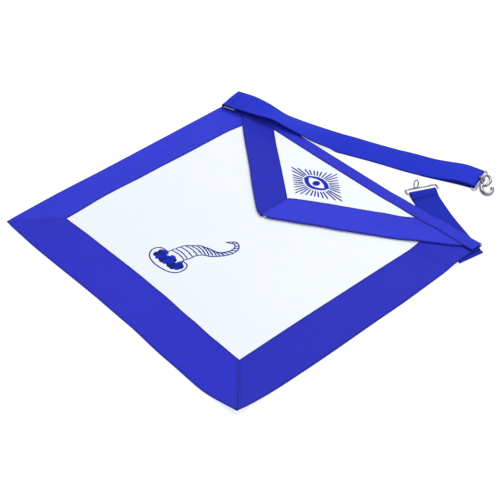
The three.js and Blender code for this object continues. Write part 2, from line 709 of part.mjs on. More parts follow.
// The short strap: sewn under the apron's corner, folded back at the side edge and
// led beneath the apron to the frame with the standing eye
const shortFold = {
  middle: new THREE.Vector2(HALF_WIDTH + SHORT_FOLD_OVERHANG, HALF_HEIGHT - SHORT_FOLD_FROM_WAIST),
  direction: directionAt(90 - FOLD_TILT),
  inwards: directionAt(180 - FOLD_TILT),
};
const shortMiddles = routeMiddles(shortFold.middle, SHORT_ROUTE, SHORT_RUN);
function shortRoutePoint(along, across, height) {
  const { middle, heading } = placeOn(shortMiddles, SHORT_ROUTE, along);
  const sideways = directionAt(heading - 90);
  const place = middle.addScaledVector(sideways, (across - 0.5) * STRAP_WIDTH);
  return new THREE.Vector3(place.x, place.y, height);
}

function shortStrap() {
  const rows = [];
  const radius = STRAP_RISE / 2;
  const low = STRAP_WALL / 2;
  for (const share of SHORT_LEG_SHARES) {
    const reach = share * SEWN_LENGTH;
    rows.push(ACROSS.map((across) => {
      const place = onFold(shortFold, across).addScaledVector(directionAt(180), reach);
      return new THREE.Vector3(place.x, place.y, low + 2 * radius);
    }));
  }
  for (const angle of [...FOLD_ANGLES].reverse()) {
    rows.push(ACROSS.map((across) => {
      const turned = THREE.MathUtils.degToRad(angle);
      const place = onFold(shortFold, across);
      place.addScaledVector(shortFold.inwards, radius * (1 - Math.cos(turned)));
      return new THREE.Vector3(place.x, place.y, low + radius * (1 + Math.sin(turned)));
    }));
  }
  const first = SHORT_FOLD_REACH / SHORT_RUN;
  for (let row = 0; row < SHORT_RUN_ROWS; row += 1) {
    const along = mix(first, 1, row / (SHORT_RUN_ROWS - 1));
    rows.push(ACROSS.map((across) => {
      const near = tableValue(SHORT_ROUTE, along, 'near');
      return shortRoutePoint(along, 1 - across, near);
    }).reverse());
  }
  rows.push(...loopRows(shortRoutePoint, SHORT_RETURN / SHORT_RUN));
  return strapWall(rows, STRAP_WALL);
}

// Round wire along a line of points
const WIRE_SIDES = 8;
const FRAME_WIRE_STEPS = 24;
const HOOK_WIRE_STEPS = 64;
const RING_SIDES = 7;
const RING_STEPS = 18;
function wire(points, radius, steps) {
  const ring = new THREE.Shape();
  for (let side = 0; side < WIRE_SIDES; side += 1) {
    const angle = (2 * Math.PI * side) / WIRE_SIDES;
    const x = radius * Math.cos(angle);
    const y = radius * Math.sin(angle);
    if (side === 0) ring.moveTo(x, y);
    else ring.lineTo(x, y);
  }
  ring.closePath();
  const extrudePath = new THREE.CatmullRomCurve3(points, false, 'centripetal');
  return solidOf(new THREE.ExtrudeGeometry(ring, { steps, extrudePath, bevelEnabled: false }));
}

// A frame at a strap's end: one bar in the loop, the other on the table, and a ring
// standing on the outer bar. Its own axes run ahead of the strap and across it.
function frameAt(pointAt, shift) {
  const origin = pointAt(1, 0.5, 0);
  const ahead = origin.clone().sub(pointAt(NEAR_END_SHARE, 0.5, 0)).normalize();
  const across = new THREE.Vector3(-ahead.y, ahead.x, 0);
  const fall = (BAR_HEIGHT - WIRE_RADIUS) / FRAME_DEPTH;
  const place = (forward, sideways, height) => origin.clone()
    .addScaledVector(ahead, forward)
    .addScaledVector(across, sideways + shift)
    .setZ(height ?? BAR_HEIGHT - fall * forward);
  return { place, ahead, across };
}

function wireFrame(frame) {
  const half = FRAME_WIDTH / 2 - WIRE_RADIUS;
  const corner = FRAME_CORNER;
  const soft = corner * CORNER_SOFTNESS;
  const pastMiddle = -WIRE_RADIUS;
  const side = (sign) => {
    const at = (forward, sideways) => frame.place(forward, sign * sideways);
    return wire([
      at(0, pastMiddle),
      at(0, half / 2),
      at(0, half - corner),
      at(soft, half - soft),
      at(corner, half),
      at(FRAME_DEPTH - corner, half),
      at(FRAME_DEPTH - soft, half - soft),
      at(FRAME_DEPTH, half - corner),
      at(FRAME_DEPTH, half / 2),
      at(FRAME_DEPTH, pastMiddle),
    ], WIRE_RADIUS, FRAME_WIRE_STEPS);
  };
  const ringRadius = EYE_HOLE_RADIUS + EYE_WIRE_RADIUS;
  const ring = new THREE.TorusGeometry(ringRadius, EYE_WIRE_RADIUS, RING_SIDES, RING_STEPS);
  ring.rotateX(Math.PI / 2);
  ring.rotateZ(Math.atan2(frame.ahead.y, frame.ahead.x));
  const middle = frame.place(FRAME_DEPTH, 0, EYE_HEIGHT);
  ring.translate(middle.x, middle.y, middle.z);
  return side(1).add(side(-1)).add(solidOf(ring));
}

const hookFrame = frameAt(longRoutePoint, 0);
const eyeFrame = frameAt(shortRoutePoint, -EYE_FRAME_SHIFT);

// The hook lies from the ring down to the table
function snakeHook() {
  const ring = hookFrame.place(FRAME_DEPTH, 0, EYE_HEIGHT);
  const upwards = new THREE.Vector3(0, 0, 1);
  const ahead = hookFrame.ahead.clone().applyAxisAngle(upwards, THREE.MathUtils.degToRad(HOOK_TURN));
  const across = new THREE.Vector3(-ahead.y, ahead.x, 0);
  const farthest = LOBE_OFFSET.along + HOOK_SPACING + HOOK_RADIUS;
  const slope = (EYE_HEIGHT - HOOK_WIRE_RADIUS - HOOK_REST) / farthest;
  const hookAlong = LOBE_OFFSET.along + HOOK_SPACING;
  const loops = {
    lobe: { along: LOBE_OFFSET.along, across: LOBE_OFFSET.across, radius: LOBE_RADIUS },
    hook: { along: hookAlong, across: HOOK_OFFSET_ACROSS, radius: HOOK_RADIUS },
  };
  const points = HOOK_WIRE.map((row) => {
    const loop = loops[row.loop];
    const outwards = directionAt(row.angle).multiplyScalar(row.reach * loop.radius);
    const forward = loop.along + outwards.x;
    return ring.clone()
      .addScaledVector(ahead, forward)
      .addScaledVector(across, loop.across + outwards.y)
      .setZ(ring.z - slope * forward);
  });
  const tip = points[points.length - 1];
  const head = new THREE.SphereGeometry(HOOK_HEAD_RADIUS, 12, 8);
  head.translate(tip.x, tip.y, tip.z);
  return wire(points, HOOK_WIRE_RADIUS, HOOK_WIRE_STEPS).add(solidOf(head));
}

// The apron with its named pieces
const apron = new THREE.Group();
apron.name = 'lodge_apron';
function addPiece(name, geometry, finish) {
  const mesh = new THREE.Mesh(geometry, new THREE.MeshStandardMaterial(finish));
  mesh.name = name;
  apron.add(mesh);
}
const bodySheet = layer(panelLow, panelTop, bodyOutline);
const flapSheet = layer(flapPanelLow, flapPanelTop, flapOutline);
addPiece('apron_panel', geometryOf(bodySheet), PANEL_FINISH);
addPiece('border_left', geometryOf(foldedRibbon(left)), RIBBON_FINISH);
addPiece('border_hem', geometryOf(foldedRibbon(hem)), RIBBON_FINISH);
addPiece('border_right', geometryOf(foldedRibbon(right)), RIBBON_FINISH);
addPiece('flap_panel', geometryOf(flapSheet), PANEL_FINISH);
addPiece('flap_border_left', geometryOf(foldedRibbon(flapLeft)), RIBBON_FINISH);
addPiece('flap_border_right', geometryOf(foldedRibbon(flapRight)), RIBBON_FINISH);
addPiece('waist_band', geometryOf(foldedRibbon(band)), RIBBON_FINISH);
addPiece('long_strap', longStrap(), STRAP_FINISH);
addPiece('strap_stiffener', strapStiffener(), STIFFENER_FINISH);
addPiece('short_strap', shortStrap(), STRAP_FINISH);
addPiece('hook_frame', geometryOf(wireFrame(hookFrame)), METAL_FINISH);
addPiece('eye_frame', geometryOf(wireFrame(eyeFrame)), METAL_FINISH);
addPiece('snake_hook', geometryOf(snakeHook()), METAL_FINISH);

export default apron;
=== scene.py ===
"""A lodge apron lying on a table: white leather with ribbed ribbon borders, a pointed flap
with an embroidered eye, a horn of plenty on the body, and two webbing straps that end in a
snake hook and in an eye.

Shapes are worked out in millimetres as whole arrays and put into the meshes in metres.
X runs along the hem, Y from the hem to the waist, Z up from the table."""

import math

import bpy
import numpy as np
from mathutils import Matrix


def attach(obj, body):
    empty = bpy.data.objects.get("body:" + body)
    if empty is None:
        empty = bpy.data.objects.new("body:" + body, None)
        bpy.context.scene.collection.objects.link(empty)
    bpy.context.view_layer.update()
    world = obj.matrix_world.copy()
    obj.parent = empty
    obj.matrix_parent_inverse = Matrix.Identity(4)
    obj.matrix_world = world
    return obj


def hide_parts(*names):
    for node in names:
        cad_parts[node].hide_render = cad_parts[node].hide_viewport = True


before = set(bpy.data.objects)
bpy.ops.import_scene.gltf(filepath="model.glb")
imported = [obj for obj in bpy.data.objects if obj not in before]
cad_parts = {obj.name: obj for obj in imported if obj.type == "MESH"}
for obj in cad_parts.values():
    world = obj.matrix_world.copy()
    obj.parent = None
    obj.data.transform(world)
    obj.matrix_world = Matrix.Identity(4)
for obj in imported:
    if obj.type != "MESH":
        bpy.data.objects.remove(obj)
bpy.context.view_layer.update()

MM = 0.001

# Sheet goods, the air between two layers, and the air under what touches the table or a face
PANEL = 0.9
RIBBON = 0.45
STRAP = 1.2
AIR = 0.1
TOUCH = 0.05
RIBBON_STEP = RIBBON + AIR
PANEL_STEP = PANEL + AIR
STRAP_STEP = STRAP + AIR
RIPPLE_HEIGHT = 0.16

# A ribbon's fold at the edge, and the depth and reach of the dips at its mitres and its inner edge
FOLD_BULGE = 1.3
FOLD_SQUARENESS = 0.7
MITRE_DIP = (0.16, 1.1)
SEWN_DIP = (0.1, 1.4)

# The body of the apron
HALF_WIDTH = 203.2
PANEL_INSET = 1.0
HALF_HEIGHT = 177.8
LEFT_WIDTH = 46.0
HEM_WIDTH = 53.0
RIGHT_WIDTH = 53.5
UNDER = 12.0
SAG_START = 15.0
SAG_END = 29.0
CURL = 5.6
CURL_RUN = 60.0
CORNER_PULL_RUN = 9.0
BODY_CORNER_PULL = 2.0
STRAP_CLIMB = (62, 91)
LEG_CLIMB = (131, 150)

# The flap and the waist binding
FLAP_DEPTH = 146.0
FLAP_APEX_X = -7.0
FLAP_RIBBON = 38.1
FLAP_UNDER = 8.0
FLAP_CLIMB = 19.0
WAIST_SAG = 4.2
CORNER_DRAW = (2.4, 1.6)
FLAP_LOFT = 1.0
FLAP_LOFT_SPAN = (60, 150)
BAND_WIDTH = 16.0
BAND_CLIMB = (96, 118)
SAG_FROM_Y = 90
DRAW_FROM_X = 130

# The straps
STRAP_WIDTH = 31.3
LONG_RETURN = 66.0
LONG_UNDER = 20.0
LEG_START = 2.5
LEG_GAPE = 2.2
SHORT_RUN = 124.0
SHORT_RETURN = 12.0
SEWN_LENGTH = 50.0
FOLD_TILT = 10.0
LONG_FOLD = (-204.8, 159.8)
SHORT_FOLD = (205.0, 155.4)

# The metal fittings
WIRE = 1.1
BAR_HEIGHT = 2.6
FRAME_WIDTH = 40.0
FRAME_DEPTH = 10.0
FRAME_CORNER = 2.2
EYE_FRAME_SHIFT = 0.8
HOOK_FRAME_AT = (113.13, 260.84)
HOOK_FRAME_HEADING = 18.92
EYE_FRAME_AT = (89.51, 200.14)
EYE_FRAME_HEADING = 153.53
EYE_HOLE = 2.6
EYE_WIRE = 0.95
EYE_HEIGHT = 4.4
HOOK_WIRE_RADIUS = 2.0
HOOK_NECK = 1.5
HOOK_NECK_SPAN = (17, 27)
HOOK_HEAD = 2.5
LOBE_RADIUS = 5.5
HOOK_RADIUS = 6.2
LOOP_MIDDLES = np.array([[1.0, 5.0], [19.0, 4.0]])
HOOK_TURN = -60.0

# How far an edge strays outwards from its straight line, at a share of its length
HEM_STRAY = {
    "along": [0.0, 0.16, 0.42, 0.56, 0.74, 0.87, 1.0],
    "outer": [0.8, 2.3, 1.1, 1.7, 4.5, 5.6, 1.6],
    "inner": [0.4, -0.9, -1.7, -0.9, 1.6, 3.4, 4.0],
}
RIGHT_STRAY = {
    "along": [0.0, 0.3, 0.6, 0.84, 1.0],
    "outer": [0.6, 1.7, 0.5, -1.7, -0.2],
    "inner": [-1.0, -1.4, -1.2, -0.4, -0.6],
}
LEFT_STRAY = {
    "along": [0.0, 0.1, 0.22, 0.36, 0.6, 0.79, 1.0],
    "outer": [1.9, 1.7, 1.5, 1.2, 0.9, 1.7, 0.4],
    "inner": [-2.8, -2.0, 1.2, 1.3, 3.0, 4.7, 1.8],
}
FLAP_LEFT_STRAY = {
    "along": [0.0, 0.35, 0.7, 1.0],
    "outer": [0.0, 2.4, 1.2, -0.6],
    "inner": [1.0, 1.7, 1.5, 0.8],
}
FLAP_RIGHT_STRAY = {
    "along": [0.0, 0.05, 0.25, 0.4, 0.5, 0.64, 0.78, 0.9, 1.0],
    "outer": [-1.8, -1.4, 0.8, 3.2, 3.9, 4.7, 6.0, 6.2, 3.0],
    "inner": [-2.2, -2.6, -2.0, -1.0, -0.4, 1.4, 3.2, 2.4, 0.0],
}
NO_STRAY = {"along": [0.0, 1.0], "outer": [0, 0], "inner": [0, 0]}

# The long strap's middle line in plan, and the heights of its near and far edges
LONG_MIDDLE = [
    (-204.8, 159.8), (-192, 162.0), (-176, 166.3), (-155, 171.2), (-132, 176.8), (-110, 182.2),
    (-82, 188.2), (-53, 193.8), (-30.5, 202.3), (-6, 212.1), (19, 221.3), (43.4, 229.6),
    (65, 238.8), (82, 246.8), (100, 255.2), (118.6, 262.6),
]
LONG_NEAR = [8.2, 8.3, 8.8, 10.4, 12.3, 8.6, 5.2, 1.2, 0.8, 0.8, 0.8, 0.9, 1.2, 2.8, 5.2, 4.6]
LONG_FAR = [9.6, 11.0, 11.2, 8.3, 2.6, 1.2, 2.3, 5.0, 4.8, 3.6, 3.8, 5.5, 4.8, 5.6, 6.8, 4.6]

# The short strap's headings in plan in degrees, and its height
SHORT_ROUTE = {
    "along": [0.0, 0.35, 0.87, 1.0],
    "heading": [160, 161.6, 155.6, 153.5],
    "height": [0.65, 0.65, 0.8, 4.45],
}

# The hook's wire from its tail round the lobe to the head: about the middles of its two
# loops, an angle in degrees and a share of the loop's radius
HOOK_LOOP = [0, 0, 0, 0, 0, 0, 0, 0, 0, 0, 1, 1, 1, 1, 1, 1, 1]
HOOK_ANGLE = [-38, -68, -112, -150, 175, 140, 100, 60, 20, -8, -148, -118, -70, -13, 34, 82, 128]
HOOK_REACH = [
    1.42, 1.02, 1.0, 1.24, 1.36, 1.14, 0.94, 1.02, 1.26, 1.72, 1.58, 1.16, 0.92, 1.0, 0.94, 0.94, 1.28,
]


# Arithmetic on whole arrays
def ramp(value, start, end):
    """A rise from 0 at start to 1 at end, level at both: 3t^2 - 2t^3."""
    t = np.clip((value - start) / (end - start), 0, 1)
    return t * t * (3 - 2 * t)


def mix(a, b, t):
    """From a to b in proportion to t."""
    return a + (b - a) * t


def table_value(rows, along, column):
    """Between two rows of the table the value changes along half a cosine wave."""
    knots = np.array(rows["along"], float)
    values = np.array(rows[column], float)
    place = np.clip(along, knots[0], knots[-1])
    row = np.clip(np.searchsorted(knots, place, side="right") - 1, 0, len(knots) - 2)
    share = (place - knots[row]) / (knots[row + 1] - knots[row])
    return values[row] + (values[row + 1] - values[row]) * (1 - np.cos(np.pi * share)) / 2


def direction(degrees):
    """The unit vector in plan at an angle from +X."""
    angle = np.radians(degrees)
    return np.stack([np.cos(angle), np.sin(angle)], -1)


def unit(vectors):
    """Vectors over their own lengths."""
    return vectors / np.maximum(np.linalg.norm(vectors, axis=-1, keepdims=True), 1e-9)


def through(knots, count):
    """A smooth line through the knots: on each span the cubic whose slope at a knot is half the
    step between the knots beside it."""
    knots = np.array(knots, float)
    padded = np.concatenate([[2 * knots[0] - knots[1]], knots, [2 * knots[-1] - knots[-2]]])
    place = np.linspace(0, len(knots) - 1, count)
    span = np.minimum(place.astype(int), len(knots) - 2)
    t = (place - span)[:, None]
    a, b, c, d = (padded[span + k] for k in range(4))
    return 0.5 * (2 * b + (c - a) * t + (2 * a - 5 * b + 4 * c - d) * t**2 + (3 * b - a - 3 * c + d) * t**3)


def grid(first, second):
    """Two arrays over every pair of their values: the first down the rows, the second along them."""
    return np.meshgrid(first, second, indexing="ij")


def raised(place, height):
    """Points in plan, each at its height."""
    return np.concatenate([place, height[..., None]], -1)


def dome(t):
    """The half width of a circle of radius 1 at t from its middle, not quite nothing at the ends."""
    return np.sqrt(np.clip(1 - t**2, 0.002, 1))


def grid_faces(rows, columns, round_rows=False, round_columns=False):
    """The four-sided faces of a grid of points, closed on itself where it is said to be round."""
    i, j = grid(
        np.arange(rows if round_rows else rows - 1),
        np.arange(columns if round_columns else columns - 1),
    )
    k, m = (i + 1) % rows, (j + 1) % columns
    corners = [i * columns + j, k * columns + j, k * columns + m, i * columns + m]
    return np.stack(corners, -1).reshape(-1, 4)


def make_piece(name, points, faces, material, wall=None, **attributes):
    """A mesh from points in millimetres and faces, with named vectors at its points, and a wall of
    the given thickness about it where it is a sheet."""
    mesh = bpy.data.meshes.new(name)
    mesh.from_pydata((np.reshape(points, (-1, 3)) * MM).tolist(), [], faces)
    for label, values in attributes.items():
        layer = mesh.attributes.new(label, "FLOAT_VECTOR", "POINT")
        layer.data.foreach_set("vector", (np.reshape(values, -1) * MM).astype(np.float32))
    mesh.polygons.foreach_set("use_smooth", np.ones(len(mesh.polygons), bool))
    mesh.materials.append(material)
    piece = bpy.data.objects.new(name, mesh)
    bpy.context.scene.collection.objects.link(piece)
    if wall:
        solid = piece.modifiers.new("wall", "SOLIDIFY")
        solid.thickness = wall * MM
        solid.offset = 0
        solid.use_even_offset = True
    return piece


def sheet_piece(name, points, material, wall, **attributes):
    """A sheet from a grid of points."""
    rows, columns = points.shape[:2]
    return make_piece(name, points, grid_faces(rows, columns).tolist(), material, wall, **attributes)


# Heights of the layers, each from the layer under it
def lift(x, y):
    """How far the whole apron is off the table: one corner curls up with the product of two squared
    ramps, and another corner lies on the short strap, in two layers."""
    curl_x = np.clip((x - HALF_WIDTH + CURL_RUN) / CURL_RUN, 0, 1.1)
    curl_y = np.clip((-HALF_HEIGHT + CURL_RUN - y) / CURL_RUN, 0, 1.1)
    layers = ramp(x, *STRAP_CLIMB) + ramp(x, *LEG_CLIMB)
    over_strap = ramp(y, HALF_HEIGHT - 63, HALF_HEIGHT - 41)
    return CURL * curl_x**2 * curl_y**2 + STRAP_STEP * layers * over_strap


def ripple(x, y):
    """The leather isn't dead flat: two long shallow waves cross it."""
    first = np.sin(x / 31 + 0.6 * np.sin(y / 47))
    second = np.sin(y / 37 + x / 83 + 1.3)
    return RIPPLE_HEIGHT * (2 + first + second)


def panel_low(x, y):
    """The body lies on the ribbons' turned-under legs at its edges and sags to the table inside."""
    inside = np.minimum(HALF_WIDTH - np.abs(x), HALF_HEIGHT - np.abs(y))
    sag = ramp(inside, SAG_START, SAG_END)
    return lift(x, y) + RIBBON_STEP * (1 - sag) + ripple(x, y) * sag


def border_low(x, y):
    """The borders lie on the body."""
    return panel_low(x, y) + PANEL_STEP


def flap_base(x, y):
    """The flap lies on the body, climbs onto the side borders, and stands a little off the body
    towards its point."""
    on_left = 1 - ramp(x, -HALF_WIDTH + LEFT_WIDTH + 2, -HALF_WIDTH + LEFT_WIDTH + 2 + FLAP_CLIMB)
    on_right = ramp(x, HALF_WIDTH - RIGHT_WIDTH - 2 - FLAP_CLIMB, HALF_WIDTH - RIGHT_WIDTH - 2)
    loft = FLAP_LOFT * (1 - ramp(y, *FLAP_LOFT_SPAN))
    return border_low(x, y) + RIBBON_STEP * (on_left + on_right) + loft


def flap_low(x, y):
    """The flap's leather lies on its ribbons' turned-under legs."""
    return flap_base(x, y) + RIBBON_STEP


def flap_ribbon_low(x, y):
    """The flap's ribbons lie on its leather."""
    return flap_low(x, y) + PANEL_STEP


def band_low(x, y):
    """The waist binding lies on the flap and climbs onto the flap's ribbons at both ends."""
    on_ribbons = ramp(np.abs(x), *BAND_CLIMB)
    return flap_ribbon_low(x, y) + RIBBON_STEP * on_ribbons


def foot(x, y):
    """The turned-under legs lie on the table."""
    return lift(x, y) + TOUCH


def settled(place):
    """The waist's middle has sagged towards the hem, and the corner over the short strap is drawn in
    on both sides."""
    x, y = place[..., 0], place[..., 1]
    high = ramp(y, SAG_FROM_Y, HALF_HEIGHT)
    sag = WAIST_SAG * (1 - (x / HALF_WIDTH) ** 4) * high
    draw = ramp(x, DRAW_FROM_X, HALF_WIDTH) * high
    return np.stack([x - CORNER_DRAW[0] * draw, y - np.maximum(sag, 0) - CORNER_DRAW[1] * draw], -1)


# Plan corners of the borders and the flap
WAIST_TOP = HALF_HEIGHT - 1.0
LEFT_INNER = -HALF_WIDTH + LEFT_WIDTH
RIGHT_INNER = HALF_WIDTH - RIGHT_WIDTH
HEM_INNER = -HALF_HEIGHT + HEM_WIDTH
SLOPE_LEFT = FLAP_DEPTH / (HALF_WIDTH + FLAP_APEX_X)
SLOPE_RIGHT = FLAP_DEPTH / (HALF_WIDTH - FLAP_APEX_X)
FLAP_APEX_Y = HALF_HEIGHT - FLAP_DEPTH
FLAP_LEFT_TIP = FLAP_APEX_X - (WAIST_TOP - FLAP_APEX_Y) / SLOPE_LEFT
FLAP_RIGHT_TIP = FLAP_APEX_X + (WAIST_TOP - FLAP_APEX_Y) / SLOPE_RIGHT
FLAP_LEFT_INNER = FLAP_LEFT_TIP + FLAP_RIBBON * math.hypot(1, SLOPE_LEFT) / SLOPE_LEFT
FLAP_RIGHT_INNER = FLAP_RIGHT_TIP - FLAP_RIBBON * math.hypot(1, SLOPE_RIGHT) / SLOPE_RIGHT
INNER_APEX_X = (FLAP_RIGHT_INNER * SLOPE_RIGHT + FLAP_LEFT_INNER * SLOPE_LEFT) / (SLOPE_RIGHT + SLOPE_LEFT)
INNER_APEX_Y = WAIST_TOP - (INNER_APEX_X - FLAP_LEFT_INNER) * SLOPE_LEFT

# Of each ribbon: where its outer and its inner line start and end, how far the two lines' ends are
# shifted along it, how wide it is over and under the edge, how far its mitred outer corners are drawn
# in, how far from its seams their dark line starts to fade, and what its two legs lie on
PLAIN = {"shift_from": (0, 0), "shift_to": (0, 0), "quiet": (0, 0), "foot": foot}
LEFT = PLAIN | {
    "from": (-HALF_WIDTH, WAIST_TOP), "to": (-HALF_WIDTH, -HALF_HEIGHT),
    "from_inner": (LEFT_INNER, WAIST_TOP), "to_inner": (LEFT_INNER, HEM_INNER),
    "stray": LEFT_STRAY, "shift_to": (0.6, 0.4), "quiet": (0, 0.65),
    "width": LEFT_WIDTH, "under": UNDER, "pull": (0, 1.0), "low": border_low,
}
HEM = PLAIN | {
    "from": (-HALF_WIDTH, -HALF_HEIGHT), "to": (HALF_WIDTH, -HALF_HEIGHT),
    "from_inner": (LEFT_INNER, HEM_INNER), "to_inner": (RIGHT_INNER, HEM_INNER),
    "stray": HEM_STRAY, "shift_from": (-0.4, -1.8), "shift_to": (0.8, -1.0),
    "width": HEM_WIDTH, "under": UNDER, "pull": (1.0, 1.0), "quiet": (0.65, 0), "low": border_low,
}
RIGHT = PLAIN | {
    "from": (HALF_WIDTH, -HALF_HEIGHT), "to": (HALF_WIDTH, WAIST_TOP),
    "from_inner": (RIGHT_INNER, HEM_INNER), "to_inner": (RIGHT_INNER, WAIST_TOP),
    "stray": RIGHT_STRAY, "shift_from": (-1.2, -4.6),
    "width": RIGHT_WIDTH, "under": UNDER, "pull": (1.0, 0), "low": border_low,
}
FLAP_LEFT = PLAIN | {
    "from": (FLAP_LEFT_TIP, WAIST_TOP), "to": (FLAP_APEX_X, FLAP_APEX_Y),
    "from_inner": (FLAP_LEFT_INNER, WAIST_TOP), "to_inner": (INNER_APEX_X, INNER_APEX_Y),
    "stray": FLAP_LEFT_STRAY, "width": FLAP_RIBBON, "under": FLAP_UNDER, "pull": (0, 4.2),
    "low": flap_ribbon_low, "foot": flap_base,
}
FLAP_RIGHT = PLAIN | {
    "from": (FLAP_APEX_X, FLAP_APEX_Y), "to": (FLAP_RIGHT_TIP, WAIST_TOP),
    "from_inner": (INNER_APEX_X, INNER_APEX_Y), "to_inner": (FLAP_RIGHT_INNER, WAIST_TOP),
    "stray": FLAP_RIGHT_STRAY, "width": FLAP_RIBBON, "under": FLAP_UNDER, "pull": (4.2, 0),
    "low": flap_ribbon_low, "foot": flap_base,
}
BAND = PLAIN | {
    "from": (HALF_WIDTH, HALF_HEIGHT), "to": (-HALF_WIDTH, HALF_HEIGHT),
    "from_inner": (HALF_WIDTH, HALF_HEIGHT - BAND_WIDTH),
    "to_inner": (-HALF_WIDTH, HALF_HEIGHT - BAND_WIDTH),
    "stray": NO_STRAY, "width": BAND_WIDTH, "under": UNDER, "pull": (0, 0), "low": band_low,
}


def ribbon_plan(ribbon, along, share):
    """Where a point of a ribbon lies in plan: between its outer and its inner line, each straying
    outwards as its table says, with the mitred outer corners drawn in a little."""
    start, end = np.array(ribbon["from"], float), np.array(ribbon["to"], float)
    start_in, end_in = np.array(ribbon["from_inner"], float), np.array(ribbon["to_inner"], float)
    length = np.linalg.norm(end - start)
    ahead = (end - start) / length
    outwards = np.array([ahead[1], -ahead[0]])
    s, a = np.asarray(share)[..., None], np.asarray(along)[..., None]
    first = mix(start, start_in, s) + ahead * mix(*ribbon["shift_from"], s)
    last = mix(end, end_in, s) + ahead * mix(*ribbon["shift_to"], s)
    stray = mix(
        table_value(ribbon["stray"], along, "outer"), table_value(ribbon["stray"], along, "inner"), share
    )
    place = mix(first, last, a) + outwards * stray[..., None]
    edge = np.clip(1 - s, 0, 1) ** 4
    for corner, inner, run, pull in zip((start, end), (start_in, end_in), (a, 1 - a), ribbon["pull"]):
        near = np.exp(-((run * length / CORNER_PULL_RUN) ** 2))
        place = place + unit(inner - corner) * pull * near * edge
    return settled(place)


def mitre_distance(ribbon, place, end):
    """The distance in plan from a ribbon's mitre line, or a great one where it has no mitre."""
    if not ribbon["pull"][end]:
        return np.full(place.shape[:-1], 1000.0)
    line = ribbon_plan(ribbon, np.full(2, float(end)), np.array([0.15, 1.0]))
    across = unit(line[1] - line[0])
    return np.abs((place[..., 0] - line[0, 0]) * across[1] - (place[..., 1] - line[0, 1]) * across[0])


def folded_ribbon(name, ribbon, material, steps=230):
    """A ribbon folded round an edge: the profile runs from the inner edge over the top leg, round a
    fold whose half height is half the distance between the legs, and along the leg beneath. Its top
    leg dips into the mitres' seams."""
    t = np.linspace(0, 1, steps)
    along = 0.65 * t + 0.35 * (1 - np.cos(np.pi * t)) / 2
    width = ribbon["width"]
    top = np.linspace(1, FOLD_BULGE / width, 26)
    turn = np.radians(np.linspace(90, -90, 11))[1:-1]
    beneath = np.linspace(FOLD_BULGE / width, ribbon["under"] / width, 5)
    round_share = FOLD_BULGE / width * (1 - np.abs(np.cos(turn)) ** FOLD_SQUARENESS)
    share = np.concatenate([top, round_share, beneath])
    round_level = np.sign(turn) * np.abs(np.sin(turn)) ** FOLD_SQUARENESS
    level = np.concatenate([np.ones(len(top)), round_level, -np.ones(5)])
    across = np.concatenate([top, round_share * 0, -beneath]) * width
    a, s = grid(along, share)
    place = ribbon_plan(ribbon, a, s)
    x, y = place[..., 0], place[..., 1]
    upper, lower = ribbon["low"](x, y) + RIBBON / 2, ribbon["foot"](x, y) + RIBBON / 2
    z = (upper + lower) / 2 + (upper - lower) / 2 * level
    ends = [mitre_distance(ribbon, place, end) for end in (0, 1)]
    nearest = np.minimum(*ends)
    mitred = MITRE_DIP[0] * np.exp(-((nearest / MITRE_DIP[1]) ** 2))
    sewn = SEWN_DIP[0] * np.exp(-((s - 1) * width / SEWN_DIP[1]) ** 2)
    z = z - np.where(level > 0.9, mitred + sewn, 0)
    length = np.linalg.norm(np.array(ribbon["to"]) - np.array(ribbon["from"]))
    edge = np.minimum(np.abs(across), width - np.abs(across))
    cloth = np.stack([a * length, np.broadcast_to(across, a.shape), np.broadcast_to(edge, a.shape)], -1)
    shown = np.minimum(ends[0] + ribbon["quiet"][0], ends[1] + ribbon["quiet"][1])
    seams = np.stack([ends[0], ends[1], shown], -1)
    points = raised(place, z)
    return sheet_piece(name, points, material, RIBBON, cloth=cloth, seams=seams)


# Materials
def new_material(name, color, roughness, specular=0.5, metallic=0.0, sheen=0.0):
    """A finish with its uniform values set on the shader itself."""
    material = bpy.data.materials.new(name)
    material.use_nodes = True
    shader = material.node_tree.nodes["Principled BSDF"]
    shader.inputs["Base Color"].default_value = (*color, 1)
    shader.inputs["Roughness"].default_value = roughness
    shader.inputs["Specular IOR Level"].default_value = specular
    shader.inputs["Metallic"].default_value = metallic
    shader.inputs["Sheen Weight"].default_value = sheen
    material.diffuse_color = (*color, 1)
    return material, material.node_tree, shader


def node(tree, kind, settings=None, **sockets):
    """A node with its settings and its sockets' values or links."""
    made = tree.nodes.new(kind)
    for key, value in (settings or {}).items():
        setattr(made, key, value)
    for key, value in sockets.items():
        socket = made.inputs[int(key[1:])] if key[0] == "i" and key[1:].isdigit() else made.inputs[key]
        if isinstance(value, bpy.types.NodeSocket):
            tree.links.new(value, socket)
        else:
            socket.default_value = value
    return made


def calc(tree, operation, first, second=0.0, third=0.0):
    """A sum, product or other number from up to three numbers."""
    made = node(tree, "ShaderNodeMath", {"operation": operation}, i0=first, i1=second, i2=third)
    return made.outputs[0]


def pattern(tree, label):
    """The three numbers of a piece's own named vector."""
    read = node(tree, "ShaderNodeAttribute", {"attribute_name": label})
    parts = node(tree, "ShaderNodeSeparateXYZ", i0=read.outputs["Vector"])
    return parts.outputs


def wave(tree, place, pitch):
    """A sine wave between 0 and 1 along a length in metres."""
    turn = calc(tree, "SINE", calc(tree, "MULTIPLY", place, 2 * math.pi / pitch))
    return calc(tree, "MULTIPLY_ADD", turn, 0.5, 0.5)


def dip(tree, distance, reach):
    """1 at a line and 0 beyond its reach."""
    limits = {"From Min": 0, "From Max": reach, "To Min": 1, "To Max": 0}
    smooth = {"interpolation_type": "SMOOTHSTEP"}
    made = node(tree, "ShaderNodeMapRange", smooth, Value=distance, **limits)
    return made.outputs["Result"]


